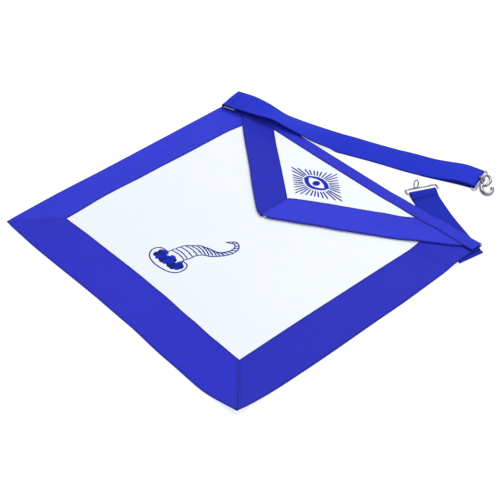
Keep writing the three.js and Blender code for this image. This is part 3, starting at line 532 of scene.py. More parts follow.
def noise(tree, scale, detail=3.0):
    """Mottling between 0 and 1 in the object's own coordinates."""
    source = node(tree, "ShaderNodeTexCoord").outputs["Object"]
    made = node(tree, "ShaderNodeTexNoise", Vector=source, Scale=scale, Detail=detail)
    return made.outputs[0]


def toned(tree, shader, color, parts):
    """The shader's colour, made darker and lighter by the product of its parts: each part is a
    pattern, how much it counts, and what it starts from."""
    tone = calc(tree, "MULTIPLY_ADD", *parts[0])
    for part in parts[1:]:
        tone = calc(tree, "MULTIPLY", tone, calc(tree, "MULTIPLY_ADD", *part))
    base = node(tree, "ShaderNodeRGB")
    base.outputs[0].default_value = (*color, 1)
    shade = node(tree, "ShaderNodeVectorMath", {"operation": "SCALE"}, Vector=base.outputs[0], Scale=tone)
    tree.links.new(shade.outputs[0], shader.inputs["Base Color"])


def dip_at(tree, distance, place, reach):
    """A dip about a line at some distance."""
    return dip(tree, calc(tree, "ABSOLUTE", calc(tree, "SUBTRACT", distance, place)), reach)


def bump(tree, shader, height, distance, strength=1.0):
    """Relief of a real height in metres."""
    made = node(tree, "ShaderNodeBump", Height=height, Distance=distance, Strength=strength)
    tree.links.new(made.outputs[0], shader.inputs["Normal"])


def ribbon_material(name, color, pitch=0.0013):
    """Ribbed ribbon: fine ribs across it, a darker line of painted shade along each edge, a dark seam line
    and a fainter row of stitches beside it at the mitres, and a cloudy tone."""
    material, tree, shader = new_material(name, color, 0.62, 0.16, sheen=0.04)
    along, across, edge = pattern(tree, "cloth")
    seam = pattern(tree, "seams")[2]
    ribs = wave(tree, along, pitch)
    weft = wave(tree, across, pitch * 0.55)
    cloud = noise(tree, 24, 4)
    slub = noise(tree, 300, 2)
    # Painted shade: the colour is darkened in a thin line along the fold and along the inner edge.
    edge_shade = dip_at(tree, edge, 0.0005, 0.0011)
    seam_line = dip(tree, seam, 0.0011)
    second = dip_at(tree, seam, 0.0026, 0.0008)
    toned(tree, shader, color, [
        (ribs, 0.26, 0.78), (cloud, 0.22, 0.94), (slub, 0.2, 0.9),
        (edge_shade, -0.5, 1), (seam_line, -0.7, 1), (second, -0.35, 1),
    ])
    relief = calc(tree, "ADD", ribs, calc(tree, "MULTIPLY", weft, 0.3))
    relief = calc(tree, "ADD", relief, calc(tree, "MULTIPLY", second, -0.8))
    bump(tree, shader, relief, 0.00012)
    return material


def webbing_material(name, color):
    """Webbing: close ribs across it, a fine weave along it, darker bound edges, and dark grooves at
    its sewn seams."""
    material, tree, shader = new_material(name, color, 0.66, 0.08, sheen=0.02)
    along, across, edge = pattern(tree, "cloth")
    seam = pattern(tree, "seams")[0]
    ribs = wave(tree, along, 0.0011)
    cords = wave(tree, across, 0.0016)
    cloud = noise(tree, 30, 4)
    slub = noise(tree, 420, 2)
    bound = dip_at(tree, edge, 0.0, 0.0016)
    sewn = dip(tree, seam, 0.0011)
    toned(tree, shader, color, [
        (ribs, 0.1, 0.9), (cords, 0.08, 0.95), (cloud, 0.2, 0.92), (slub, 0.16, 0.92),
        (bound, -0.55, 1), (sewn, -0.7, 1),
    ])
    relief = calc(tree, "ADD", calc(tree, "MULTIPLY", ribs, cords), calc(tree, "MULTIPLY", sewn, -2.5))
    bump(tree, shader, relief, 0.00016)
    return material


def leather_material(name, color):
    """Soft leather or felt: a fine pebbled grain, faint mottling, and pores."""
    material, tree, shader = new_material(name, color, 0.5, 0.3, sheen=0.03)
    grain = noise(tree, 900, 4)
    pores = noise(tree, 260, 3)
    cloud = noise(tree, 14, 3)
    toned(tree, shader, color, [(cloud, 0.04, 0.98), (pores, 0.03, 0.985)])
    relief = calc(tree, "ADD", calc(tree, "MULTIPLY", grain, 0.5), pores)
    bump(tree, shader, relief, 0.00012)
    return material


def thread_material(name, color, pitch):
    """Embroidery thread: strands laid side by side, shining along their crowns."""
    material, tree, shader = new_material(name, color, 0.5, 0.07)
    along = pattern(tree, "cloth")[0]
    strands = wave(tree, along, pitch)
    slub = noise(tree, 500, 2)
    toned(tree, shader, color, [(strands, 0.3, 0.7), (slub, 0.4, 0.8)])
    bump(tree, shader, strands, 0.0001)
    return material


def metal_material(name, color, roughness):
    """Nickel plate over a rough casting: its brightness and its gloss vary with the wear."""
    material, tree, shader = new_material(name, color, roughness, 0.5, metallic=1.0)
    cast = noise(tree, 700, 4)
    worn = noise(tree, 180, 3)
    rough = calc(tree, "MULTIPLY_ADD", worn, 0.25, roughness - 0.1)
    tree.links.new(rough, shader.inputs["Roughness"])
    bright = calc(tree, "MAXIMUM", calc(tree, "MULTIPLY_ADD", worn, 3.0, -0.5), 0.25)
    toned(tree, shader, color, [(bright, 1, 0)])
    bump(tree, shader, calc(tree, "ADD", cast, worn), 0.0003, 0.6)
    return material


# The six ribbons are one blue ribbon in lit and shaded copies. Painted light makes the left border and the
# flap's right ribbon lighter. Painted shade makes the right border and the flap's left ribbon darker. The
# hem and the waist binding lie between.
left_ribbon = ribbon_material("left ribbon", (0.0142, 0.0243, 0.54))
hem_ribbon = ribbon_material("hem ribbon", (0.011, 0.0154, 0.478))
right_ribbon = ribbon_material("right ribbon", (0.009, 0.0142, 0.43))
flap_left_ribbon = ribbon_material("left flap ribbon", (0.0045, 0.0098, 0.40))
flap_right_ribbon = ribbon_material("right flap ribbon", (0.0166, 0.0256, 0.545), 0.0016)
binding_ribbon = ribbon_material("binding ribbon", (0.011, 0.0178, 0.489), 0.0014)
long_webbing = webbing_material("long webbing", (0.0112, 0.0248, 0.488))
# The short strap is the same webbing as the long one, with painted shade darkening its base colour.
short_webbing = webbing_material("short webbing", (0.0053, 0.017, 0.37))
white_leather = leather_material("white leather", (0.70, 0.725, 0.765))
# The stiffening is a pale strip, painted grey with the shade inside the strap's fold.
felt_in_painted_shade = leather_material("felt stiffening", (0.42, 0.46, 0.56))
satin_blue = thread_material("satin thread", (0.004, 0.018, 0.5), 0.0006)
satin_dark = thread_material("dark satin thread", (0.004, 0.011, 0.20), 0.0006)
outline_blue = thread_material("outline thread", (0.009, 0.030, 0.33), 0.0008)
ribbon_thread = thread_material("sewing thread", (0.012, 0.016, 0.34), 0.0008)
nickel = metal_material("nickel plate", (0.27, 0.27, 0.30), 0.32)


# Leather panels
def body_leather():
    """The body: a grid between the outer lines of the left and right borders, from the line of the
    hem to the waist, its lower right corner drawn in by a bell curve of the distance from it."""
    s, t = grid(np.linspace(0, 1, 150), np.linspace(0, 1, 132))
    left = -HALF_WIDTH + PANEL_INSET - table_value(LEFT_STRAY, 1 - t, "outer")
    right = HALF_WIDTH - PANEL_INSET + table_value(RIGHT_STRAY, t, "outer")
    bottom = -HALF_HEIGHT + PANEL_INSET - table_value(HEM_STRAY, s, "outer")
    x = mix(left, right, s)
    y = mix(bottom, WAIST_TOP, t)
    corner = BODY_CORNER_PULL * np.exp(-(((1 - s) * 400) ** 2 + (t * 350) ** 2) / 90)
    place = settled(np.stack([x - corner, y + corner], -1))
    z = panel_low(place[..., 0], place[..., 1]) + PANEL / 2
    return sheet_piece("body_leather", raised(place, z), white_leather, PANEL)


def flap_leather():
    """The flap: at each height above the point a row between its two slanting edges."""
    t, s = grid(np.linspace(0, 1, 90), np.linspace(0, 1, 110))
    lowest = FLAP_APEX_Y + PANEL_INSET * 7
    y = mix(WAIST_TOP, lowest, t)
    rise = y - FLAP_APEX_Y - PANEL_INSET
    left_share = 1 - (y - FLAP_APEX_Y) / FLAP_DEPTH
    left_stray = table_value(FLAP_LEFT_STRAY, left_share, "outer")
    right_stray = table_value(FLAP_RIGHT_STRAY, 1 - left_share, "outer")
    left = FLAP_APEX_X - rise / SLOPE_LEFT - left_stray + PANEL_INSET
    right = FLAP_APEX_X + rise / SLOPE_RIGHT + right_stray * 1.5 - PANEL_INSET
    x = mix(left, np.maximum(right, left + 0.5), s)
    place = settled(np.stack([x, y], -1))
    z = flap_low(place[..., 0], place[..., 1]) + PANEL / 2
    return sheet_piece("flap_leather", raised(place, z), white_leather, PANEL)


body = body_leather()
ribbon_left = folded_ribbon("ribbon_left", LEFT, left_ribbon)
ribbon_hem = folded_ribbon("ribbon_hem", HEM, hem_ribbon)
ribbon_right = folded_ribbon("ribbon_right", RIGHT, right_ribbon)
flap = flap_leather()
ribbon_flap_left = folded_ribbon("ribbon_flap_left", FLAP_LEFT, flap_left_ribbon, 190)
ribbon_flap_right = folded_ribbon("ribbon_flap_right", FLAP_RIGHT, flap_right_ribbon, 190)
binding = folded_ribbon("waist_binding", BAND, binding_ribbon)


# Straps
def short_route(steps=400):
    """The short strap's middle in plan, the sum of short steps each along its heading, and its
    height."""
    heading = table_value(SHORT_ROUTE, (np.arange(steps) + 0.5) / steps, "heading")
    moves = direction(heading) * SHORT_RUN / steps
    plan = np.concatenate([[SHORT_FOLD], SHORT_FOLD + np.cumsum(moves, 0)])
    height = table_value(SHORT_ROUTE, np.linspace(0, 1, steps + 1), "height")[:, None]
    return np.concatenate([plan, height, height], -1)


def on_route(route, along, across, side=1):
    """A point of a strap: its middle, and a share of its width square to its course; its height goes
    evenly from the near to the far edge."""
    last = len(route) - 1
    course = unit(np.gradient(route[:, :2], axis=0))
    both = np.concatenate([route, course], -1)
    place = np.clip(along, 0, 1) * last
    index = np.minimum(place.astype(int), last - 1)
    middle = mix(both[index], both[index + 1], (place - index)[..., None])
    sideways = side * np.stack([-middle[..., 5], middle[..., 4]], -1)
    level_width = np.sqrt(STRAP_WIDTH**2 - (middle[..., 3] - middle[..., 2]) ** 2)
    plan = middle[..., :2] + sideways * ((across - 0.5) * level_width)[..., None]
    return plan, mix(middle[..., 2], middle[..., 3], across)


def even_rows(points, spacing, passes):
    """The strap's rows moved to even distances along it, then each point drawn towards the middle of
    the two beside it along the strap, a few times over."""
    steps = np.linalg.norm(np.diff(points, axis=0), axis=-1).mean(1)
    length = np.concatenate([[0], np.cumsum(steps)])
    count = int(length[-1] / spacing) + 1
    wanted = np.linspace(0, length[-1], count)
    index = np.clip(np.searchsorted(length, wanted, side="right") - 1, 0, len(length) - 2)
    share = (wanted - length[index]) / (length[index + 1] - length[index])
    rows = mix(points[index], points[index + 1], share[:, None, None])
    for _ in range(passes):
        rows[1:-1] = 0.25 * rows[:-2] + 0.5 * rows[1:-1] + 0.25 * rows[2:]
    return rows, wanted


def strap_end(route, returned, side, columns):
    """The end of a strap: round the frame's bar, at the wire's radius, and back beneath itself."""
    radius = WIRE + AIR + STRAP / 2
    angle, across = grid(np.radians(np.linspace(80, -90, 18)), columns)
    end, _ = on_route(route, np.ones_like(across), across, side)
    ahead = unit(route[-1, :2] - route[-2, :2])
    place = end + ahead * (radius * np.cos(angle))[..., None]
    loop = raised(place, BAR_HEIGHT + radius * np.sin(angle))
    along, across = grid(1 - np.linspace(0.04, 1, 24) * returned, columns)
    place, _ = on_route(route, along, across, side)
    flat = raised(place, np.full_like(across, STRAP / 2 + TOUCH))
    return np.concatenate([loop, flat])


def webbing(name, points, material, seam_at, spacing=0.8, passes=4):
    """A strap's sheet, with the distance along it, across it and from its edges, and from its seam."""
    rows, length = even_rows(points, spacing, passes)
    across = np.linspace(0, STRAP_WIDTH, rows.shape[1])
    edge = np.minimum(across, STRAP_WIDTH - across)
    a, c = grid(length, across)
    seam = np.abs(a - seam_at)
    cloth = np.stack([a, c, np.broadcast_to(edge, a.shape)], -1)
    seams = np.stack([seam, seam, seam], -1)
    return sheet_piece(name, rows, material, STRAP, cloth=cloth, seams=seams), length[-1]


ACROSS = np.linspace(0, 1, 23)
FOLD_SPAN = STRAP_WIDTH / math.cos(math.radians(FOLD_TILT))
LONG_TABLE = np.column_stack([LONG_MIDDLE, LONG_NEAR, LONG_FAR])
long_line = through(LONG_TABLE, 600)
long_steps = np.linalg.norm(np.diff(long_line[:, :2], axis=0), axis=-1)
LONG_RUN = long_steps.sum()
long_places = np.concatenate([[0], np.cumsum(long_steps)]) / LONG_RUN
even_places = np.linspace(0, 1, 400)
long_route = np.stack([np.interp(even_places, long_places, column) for column in long_line.T], -1)
short_strap_route = short_route()


def on_fold(fold, heading, across):
    """A point of a fold's line in plan."""
    return np.array(fold) + direction(heading) * ((across - 0.5) * FOLD_SPAN)[..., None]


def turned_over(fold, heading, inwards, low, radius, angle, across):
    """A fold about its line: half a circle between the lower and the upper leg, as high as the angle
    says."""
    place = on_fold(fold, heading, across) + direction(inwards) * (radius * (1 - np.cos(angle)))[..., None]
    return raised(place, low + radius * (1 + np.sin(angle)))


def leg_height(place):
    """The long strap's lower leg lies on the border and climbs onto the flap and the waist binding."""
    x, y = np.maximum(place[..., 0], -HALF_WIDTH), np.minimum(place[..., 1], HALF_HEIGHT)
    on_border = border_low(x, y) + RIBBON
    on_band = band_low(x, y) + RIBBON
    past_flap = y + (x + HALF_WIDTH) * SLOPE_LEFT - WAIST_TOP
    band_edge = HALF_HEIGHT - BAND_WIDTH
    climb = np.maximum(ramp(y, band_edge - 11, band_edge - 1), ramp(past_flap, -12, -3))
    return mix(on_border, on_band, climb) + AIR + STRAP / 2


def draped(place):
    """The lowest the long strap may lie: on the flap and the waist binding, and hanging from the
    waist's edge down to the table."""
    x, y = np.maximum(place[..., 0], -HALF_WIDTH), place[..., 1]
    held = np.minimum(y, HALF_HEIGHT)
    on_band = held > HALF_HEIGHT - BAND_WIDTH - 3
    support = np.where(on_band, band_low(x, held), flap_ribbon_low(x, held)) + RIBBON
    support = np.where(y < 120, 0, support)
    beyond = np.maximum(0, y - HALF_HEIGHT - 2.5)
    return np.maximum(support + AIR + STRAP / 2 - 1.1 * beyond, STRAP / 2)


def long_strap():
    """The lower leg under the run, the open fold at the side edge, the run over the waist to the
    hook's frame, and the end turned back beneath."""
    ahead = unit(long_route[20, :2] - long_route[0, :2])
    reach, across = grid(LEG_START + LONG_UNDER * np.linspace(1, 0.1, 12), ACROSS)
    place = on_fold(LONG_FOLD, 90 + FOLD_TILT, across) + ahead * reach[..., None]
    level = leg_height(place) + LEG_GAPE * (reach / (LONG_UNDER + LEG_START)) ** 2 * (1 - across)
    leg = raised(place, level)
    angle, across = grid(np.radians(np.linspace(-90, 90, 25)), ACROSS)
    low = leg_height(on_fold(LONG_FOLD, 90 + FOLD_TILT, across))
    radius = (mix(LONG_NEAR[0], LONG_FAR[0], across) - low) / 2
    fold = turned_over(LONG_FOLD, 90 + FOLD_TILT, FOLD_TILT, low, radius, angle, across)
    along, across = grid(np.linspace(12 / LONG_RUN, 1, 200), ACROSS)
    place, z = on_route(long_route, along, across)
    z = np.maximum(z + 0.35 * np.sin(np.pi * across), draped(place))
    run = raised(place, z)
    end = strap_end(long_route, LONG_RETURN / LONG_RUN, 1, ACROSS)
    points = np.concatenate([leg, fold, run, end])
    return webbing("long_webbing", points, long_webbing, LONG_UNDER + 16.0)


def short_strap():
    """The sewn leg under the corner, the fold at the side edge, the run beneath the apron to the
    eye's frame, and the short end turned back."""
    reach, across = grid(SEWN_LENGTH * np.linspace(1, 0.1, 14), ACROSS)
    place = on_fold(SHORT_FOLD, 90 - FOLD_TILT, across) - np.array([1.0, 0]) * reach[..., None]
    leg = raised(place, np.full_like(across, STRAP / 2 + STRAP_STEP))
    angle, across = grid(np.radians(np.linspace(90, -90, 13)), ACROSS)
    inwards = 180 - FOLD_TILT
    fold = turned_over(SHORT_FOLD, 90 - FOLD_TILT, inwards, STRAP / 2, STRAP_STEP / 2, angle, across)
    along, across = grid(np.linspace(14 / SHORT_RUN, 1, 90), ACROSS)
    place, z = on_route(short_strap_route, along, across, -1)
    run = raised(place, z)
    end = strap_end(short_strap_route, SHORT_RETURN / SHORT_RUN, -1, ACROSS)
    points = np.concatenate([leg, fold, run, end])
    return webbing("short_webbing", points, short_webbing, SEWN_LENGTH + SHORT_RUN - 9.5)


long_piece, long_length = long_strap()
short_piece, short_length = short_strap()


def stiffening():
    """The pale strip that shows in the open fold, lying on the lower leg. Its grey colour is painted shade
    from inside the fold.
    """
    ahead = unit(long_route[20, :2] - long_route[0, :2])
    reach, across = grid(np.linspace(LEG_START, 19, 20), np.linspace(0.02, 0.5, 14))
    place = on_fold(LONG_FOLD, 90 + FOLD_TILT, across) + ahead * reach[..., None]
    gape = LEG_GAPE * (reach / (LONG_UNDER + LEG_START)) ** 2 * (1 - across)
    z = leg_height(place) + STRAP / 2 + 0.9 + gape
    points = raised(place, z)
    return sheet_piece("stiffening_strip", points, felt_in_painted_shade, 0.8)


stiffener = stiffening()


# Wire and cast metal
def tube(name, line, radius, material, sides=14, closed=False, flat=1.0):
    """Round wire along a line of points: each ring lies square to the line, its sides level with the
    table and square to that. Open ends are capped."""
    line = np.array(line, float)
    if closed:
        ahead = unit(np.roll(line, -1, 0) - np.roll(line, 1, 0))
    else:
        ahead = unit(np.gradient(line, axis=0))
    upright = np.array([0.0, 0.0, 1.0])
    sideways = unit(np.cross(ahead, upright))
    above = np.cross(sideways, ahead)
    angle = np.linspace(0, 2 * np.pi, sides, endpoint=False)
    around = np.broadcast_to(radius, (len(line),))[:, None, None]
    points = line[:, None] + around * (
        sideways[:, None] * np.cos(angle)[:, None] + above[:, None] * flat * np.sin(angle)[:, None]
    )
    faces = grid_faces(len(line), sides, closed, True).tolist()
    if not closed:
        faces += [list(range(sides)), list(range(len(line) * sides - 1, (len(line) - 1) * sides - 1, -1))]
    return make_piece(name, points, faces, material)


def frame_axes(origin, heading, shift):
    """A frame's own axes at a strap's end: ahead of the strap, across it, and falling to the table."""
    origin = np.array(origin)
    ahead = direction(heading)
    across = np.array([-ahead[1], ahead[0]])

    def place(forward, sideways, height=None):
        forward, sideways = np.asarray(forward, float), np.asarray(sideways, float)
        plan = origin + ahead * forward[..., None] + across * (sideways + shift)[..., None]
        fall = (BAR_HEIGHT - WIRE) / FRAME_DEPTH
        level = BAR_HEIGHT - fall * forward if height is None else np.full(forward.shape, height)
        return raised(plan, level)

    return place, ahead


def wire_frame(name, place, ahead, first, ring_at, tall):
    """A rounded rectangle of wire from its first bar to its outer bar, and a ring standing on the
    outer bar, a number of times as tall as it is wide."""
    half, corner = FRAME_WIDTH / 2 - WIRE, FRAME_CORNER
    turn = np.radians(np.linspace(0, 90, 9))
    forward = np.concatenate([
        np.full(24, first), first + corner * (1 - np.cos(turn)),
        np.linspace(first + corner, FRAME_DEPTH - corner, 6)[1:-1],
        FRAME_DEPTH - corner * (1 - np.sin(turn)), np.full(24, FRAME_DEPTH),
    ])
    sideways = np.concatenate([
        np.linspace(0, half - corner, 25)[:-1], half - corner + corner * np.sin(turn), np.full(4, half),
        half - corner + corner * np.cos(turn), np.linspace(half - corner, 0, 25)[1:],
    ])
    forward = np.concatenate([forward, forward[-2:0:-1]])
    sideways = np.concatenate([sideways, -sideways[-2:0:-1]])
    wobble = 0.25 * np.sin(sideways / 5) * (forward > FRAME_DEPTH / 2)
    rectangle = tube(name, place(forward + wobble, sideways), WIRE, nickel, closed=True)
    turn = np.linspace(0, 2 * np.pi, 40, endpoint=False)
    radius = EYE_HOLE + EYE_WIRE
    middle = place(np.array(FRAME_DEPTH), np.array(ring_at), EYE_HEIGHT * tall)
    facing = np.append(ahead, 0) if tall == 1 else np.array([-ahead[1], ahead[0], 0]) * 0.75
    ring = middle + radius * (
        np.cos(turn)[:, None] * facing + tall * np.sin(turn)[:, None] * np.array([0, 0, 1.0])
    )
    side = unit(np.cross(facing, [0, 0, 1.0]))
    angle = np.linspace(0, 2 * np.pi, 12, endpoint=False)
    outwards = unit(ring - middle)
    points = ring[:, None] + EYE_WIRE * (
        outwards[:, None] * np.cos(angle)[:, None] + side * np.sin(angle)[:, None]
    )
    loop = make_piece(name + "_eye", points, grid_faces(40, 12, True, True).tolist(), nickel)
    return rectangle, loop


hook_place, hook_ahead = frame_axes(HOOK_FRAME_AT, HOOK_FRAME_HEADING, 0)
eye_place, eye_ahead = frame_axes(EYE_FRAME_AT, EYE_FRAME_HEADING, -EYE_FRAME_SHIFT)
hook_wire, hook_eye = wire_frame("hook_wire_frame", hook_place, hook_ahead, 5.0, 0.0, 1.0)
eye_wire, standing_eye = wire_frame("eye_wire_frame", eye_place, eye_ahead, 0.0, 5.0, 1.6)


def cast_hook():
    """The S of the hook: a smooth line round its lobe and its open hook, thin where it turns in the
    ring and thickest at the hook's back, with a rounded tail and a ball for a head, falling evenly
    from the ring to the table."""
    ring = hook_place(np.array(FRAME_DEPTH), np.array(0.0), EYE_HEIGHT)
    turn = math.radians(HOOK_TURN)
    ahead = np.array([
        hook_ahead[0] * math.cos(turn) - hook_ahead[1] * math.sin(turn),
        hook_ahead[0] * math.sin(turn) + hook_ahead[1] * math.cos(turn),
    ])
    across = np.array([-ahead[1], ahead[0]])
    loop = np.array(HOOK_LOOP)
    radius = np.where(loop == 0, LOBE_RADIUS, HOOK_RADIUS) * np.array(HOOK_REACH)
    out = direction(np.array(HOOK_ANGLE, float)) * radius[:, None]
    forward, sideways = (LOOP_MIDDLES[loop] + out).T
    slope = (EYE_HEIGHT - HOOK_WIRE_RADIUS - 0.2) / (LOOP_MIDDLES[1, 0] + HOOK_RADIUS)
    plan = ring[:2] + ahead * forward[:, None] + across * sideways[:, None]
    knots = raised(plan, ring[2] - slope * forward)
    line = through(knots, 260)
    length = np.concatenate([[0], np.cumsum(np.linalg.norm(np.diff(line, axis=0), axis=-1))])
    left, right = length, length[-1] - length
    thick = HOOK_WIRE_RADIUS * (1 + 0.2 * np.exp(-(((right - 18) / 12) ** 2)))
    thick = mix(HOOK_NECK, thick, ramp(left, *HOOK_NECK_SPAN))
    tail = HOOK_WIRE_RADIUS * dome(1 - left / HOOK_WIRE_RADIUS)
    thick = np.where(left < HOOK_WIRE_RADIUS, np.minimum(thick, tail), thick)
    ball = np.sqrt(np.clip(HOOK_HEAD**2 - (right - HOOK_HEAD) ** 2, 0.01, None))
    neck = np.where(right > HOOK_HEAD, thick * 0.85, 0)
    thick = np.where(right < HOOK_HEAD * 1.7, np.maximum(ball, neck), thick)
    return tube("cast_snake_hook", line, thick, nickel, sides=18)


snake = cast_hook()


# Embroidery
def flap_top(x, y):
    """The face of the flap's leather."""
    return flap_low(x, y) + PANEL


def body_top(x, y):
    """The face of the body's leather."""
    return panel_low(x, y) + PANEL


def raised_threads(name, lines, half_width, height, face, material, sides=8):
    """Rows of thread or satin stitch: a flattened tube along each line, lying on the leather's face,
    as wide and as high as it is told at each point. Every line has as many points as the others."""
    lines = np.array(lines, float)
    count, steps = lines.shape[:2]
    ahead = unit(np.gradient(lines, axis=1))
    sideways = np.stack([ahead[..., 1], -ahead[..., 0]], -1)
    angle = np.linspace(0, 2 * np.pi, sides, endpoint=False)
    half_width = np.broadcast_to(half_width, (count, steps))[..., None, None]
    height = np.broadcast_to(height, (count, steps))[..., None]
    plan = lines[:, :, None] + sideways[:, :, None] * half_width * np.cos(angle)[:, None]
    level = face(plan[..., 0], plan[..., 1]) - TOUCH + height * (0.45 + 0.55 * np.sin(angle))
    points = raised(plan, level)
    faces = grid_faces(steps, sides, False, True)
    caps = np.stack([np.arange(sides), np.arange(steps * sides - 1, (steps - 1) * sides - 1, -1)])
    starts = (np.arange(count) * steps * sides)[:, None, None]
    every = (faces + starts).reshape(-1, 4).tolist() + (caps + starts).reshape(-1, sides).tolist()
    moved = np.linalg.norm(np.diff(lines, axis=1), axis=-1)
    length = np.concatenate([np.zeros((count, 1)), np.cumsum(moved, 1)], 1)
    cloth = np.broadcast_to(length[..., None, None], (count, steps, sides, 3))
    return make_piece(name, points, every, material, cloth=cloth)


def rounded(steps, tip=0.5):
    """A width that is full in the middle and rounds off to nothing at both ends."""
    t = np.linspace(-1, 1, steps)
    return np.maximum(1 - np.abs(t) ** (2 / tip), 0.0004) ** tip


# The eye: its middle; of its upper and its lower lid the middle, the half length, the bow upwards,
# and the thread's half width at the left and the right end; where the rays between two corners end
EYE_MIDDLE = np.array([-6.4, 122.9])
LIDS = {
    "middle": [(-6.6, 124.2), (-6.7, 123.2)],
    "half_length": [16.9, 16.5],
    "bow": [7.4, -9.0],
    "left": [1.5, 2.7],
    "right": [2.8, 1.7],
}
IRIS_LENGTH, IRIS_WIDTH = 4.6, 4.5
PUPIL = 2.2
PUPIL_SHIFT = (0.6, 0.5)
NEAR_CORNERS = np.array([[4.2, 29.8], [-3.1, -30.9]])
FAR_CORNERS = np.array([[-44.4, 0.7], [46.0, -1.8]])
RAY_START = (18.8, 12.0)
RAY_SHARES = [0.11, 0.225, 0.33, 0.415, 0.5, 0.6, 0.7, 0.86]

# Half widths of the threads
RAY_THREAD = 0.84
OUTLINE_THREAD = 0.72
BAND_THREAD = 0.68
RIM_THREAD = 0.76
DOT_THREAD = 0.42
SEWING_THREAD = 0.22


def eye_lids():
    """Two bands of satin stitch, each on a parabola between the corners of the eye."""
    t = np.linspace(-1, 1, 60)
    middle, half, bow, left, right = (np.array(column)[..., None] for column in LIDS.values())
    lines = np.stack([middle[:, 0] + half * t, middle[:, 1] + bow * (1 - t**2)], -1)
    cut = np.clip((1 - np.abs(t)) * 16, 0.02, 1) ** 0.5
    width = mix(left, right, (t + 1) / 2) * cut
    return raised_threads("eye_lids", lines, width, 0.55, flap_top, satin_blue, 10)


def eye_iris():
    """The iris and, on it, the pupil: two flattened domes."""
    t = np.linspace(-1, 1, 24)
    level = np.stack([t, np.zeros(24)], -1)
    face = lambda x, y: flap_top(x, y) + 0.45
    iris = raised_threads(
        "eye_iris", [EYE_MIDDLE + IRIS_LENGTH * level], IRIS_WIDTH * dome(t), 0.6 * dome(t), flap_top,
        satin_blue, 16,
    )
    pupil = raised_threads(
        "eye_pupil", [EYE_MIDDLE + PUPIL_SHIFT + PUPIL * level], PUPIL * dome(t), 0.4 * dome(t), face,
        satin_dark, 12,
    )
    return iris, pupil


def eye_rays():
    """Rays round the eye: they start from an oval round the lids and end at the corners and on the
    sides of a rhombus, closer together towards its short corners."""
    share = np.array(RAY_SHARES)[:, None]
    sides = [mix(near, far, share) for near in NEAR_CORNERS for far in FAR_CORNERS]
    tip = np.concatenate([NEAR_CORNERS, FAR_CORNERS, *sides])
    angle = np.arctan2(tip[:, 1] / 30, tip[:, 0] / 45)
    start = np.stack([np.cos(angle), np.sin(angle)], -1) * RAY_START
    t = np.linspace(0, 1, 14)[:, None]
    lines = EYE_MIDDLE + mix(start[:, None], tip[:, None], t)
    return raised_threads("eye_rays", lines, RAY_THREAD * rounded(14, 0.3), 0.4, flap_top, outline_blue, 6)


# The horn of plenty: its bands' ends along its upper and its lower side, from the mouth to the
# tail, the rim of its mouth, and the leaves' roots and tips
HORN = {
    "upper": [
        (-32.9, -77.9), (-31.9, -72.5), (-30.5, -67.6), (-29.2, -61.8), (-27.1, -56.6), (-22.8, -52.1),
        (-18.5, -47.6), (-14.6, -44.2), (-9.0, -42.5), (-4.1, -40.5), (1.3, -39.6), (5.9, -38.2),
        (10.0, -35.3), (12.5, -31.0), (14.3, -26.4), (14.1, -21.6), (12.7, -18.0), (9.2, -16.1),
        (6.3, -17.0), (-0.3, -20.5),
    ],
    "lower": [
        (-10.0, -75.9), (-9.9, -72.8), (-8.9, -69.7), (-7.4, -66.2), (-7.1, -60.9), (-5.0, -56.3),
        (-1.6, -52.1), (1.7, -50.3), (5.4, -48.4), (8.5, -45.6), (11.1, -42.6), (13.6, -39.3),
        (16.6, -35.2), (18.5, -30.8), (19.6, -25.7), (19.0, -19.5), (16.0, -15.2), (10.3, -12.3),
        (5.6, -13.7), (-0.5, -20.4),
    ],
    "rim": [
        (-33.5, -77.6), (-41.5, -77.2), (-46.8, -81.0), (-48.1, -87.6), (-43.7, -94.6), (-36.2, -98.4),
        (-25.7, -99.9), (-13.3, -98.9), (-3.2, -95.4), (2.3, -89.1), (2.6, -80.5), (-1.9, -75.4),
        (-10.2, -75.1),
    ],
    "root": [
        (-28.7, -82.4), (-27.6, -82.9), (-30.0, -81.4), (-30.0, -81.4), (-25.7, -83.7), (-19.7, -82.1),
        (-13.6, -81.1), (-18.2, -79.9), (-11.8, -81.6), (-9.9, -80.6), (-9.4, -79.4), (-11.7, -79.8),
        (-14.5, -84.4), (-13.7, -86.9), (-24.7, -93.4), (-25.3, -80.6),
    ],
    "tip": [
        (-42.6, -89.9), (-36.5, -92.3), (-41.8, -84.3), (-38.4, -80.1), (-29.1, -93.2), (-23.3, -92.5),
        (-27.1, -84.5), (-25.0, -80.9), (-9.6, -92.9), (-3.4, -89.7), (-0.3, -84.4), (-5.7, -78.5),
        (-16.0, -92.5), (-20.7, -81.8), (-27.6, -86.4), (-25.4, -87.4),
    ],
}
LEAF_WIDTHS = (4.2, 3.7)


def horn_sides(count):
    """Points along both sides of the horn, each side bulging out a little between its bands."""
    upper, lower = through(HORN["upper"], count), through(HORN["lower"], count)
    place = np.linspace(0, 1, count)[:, None]
    bulge = 0.8 * np.abs(np.sin(np.pi * place * (len(HORN["upper"]) - 1))) * (1 - place)
    outwards = unit(upper - lower)
    return upper + outwards * bulge, lower - outwards * bulge


def horn_outline():
    """The two sides of the horn."""
    width = OUTLINE_THREAD * rounded(220, 0.15)
    return raised_threads("horn_outline", horn_sides(220), width, 0.4, body_top, outline_blue, 6)


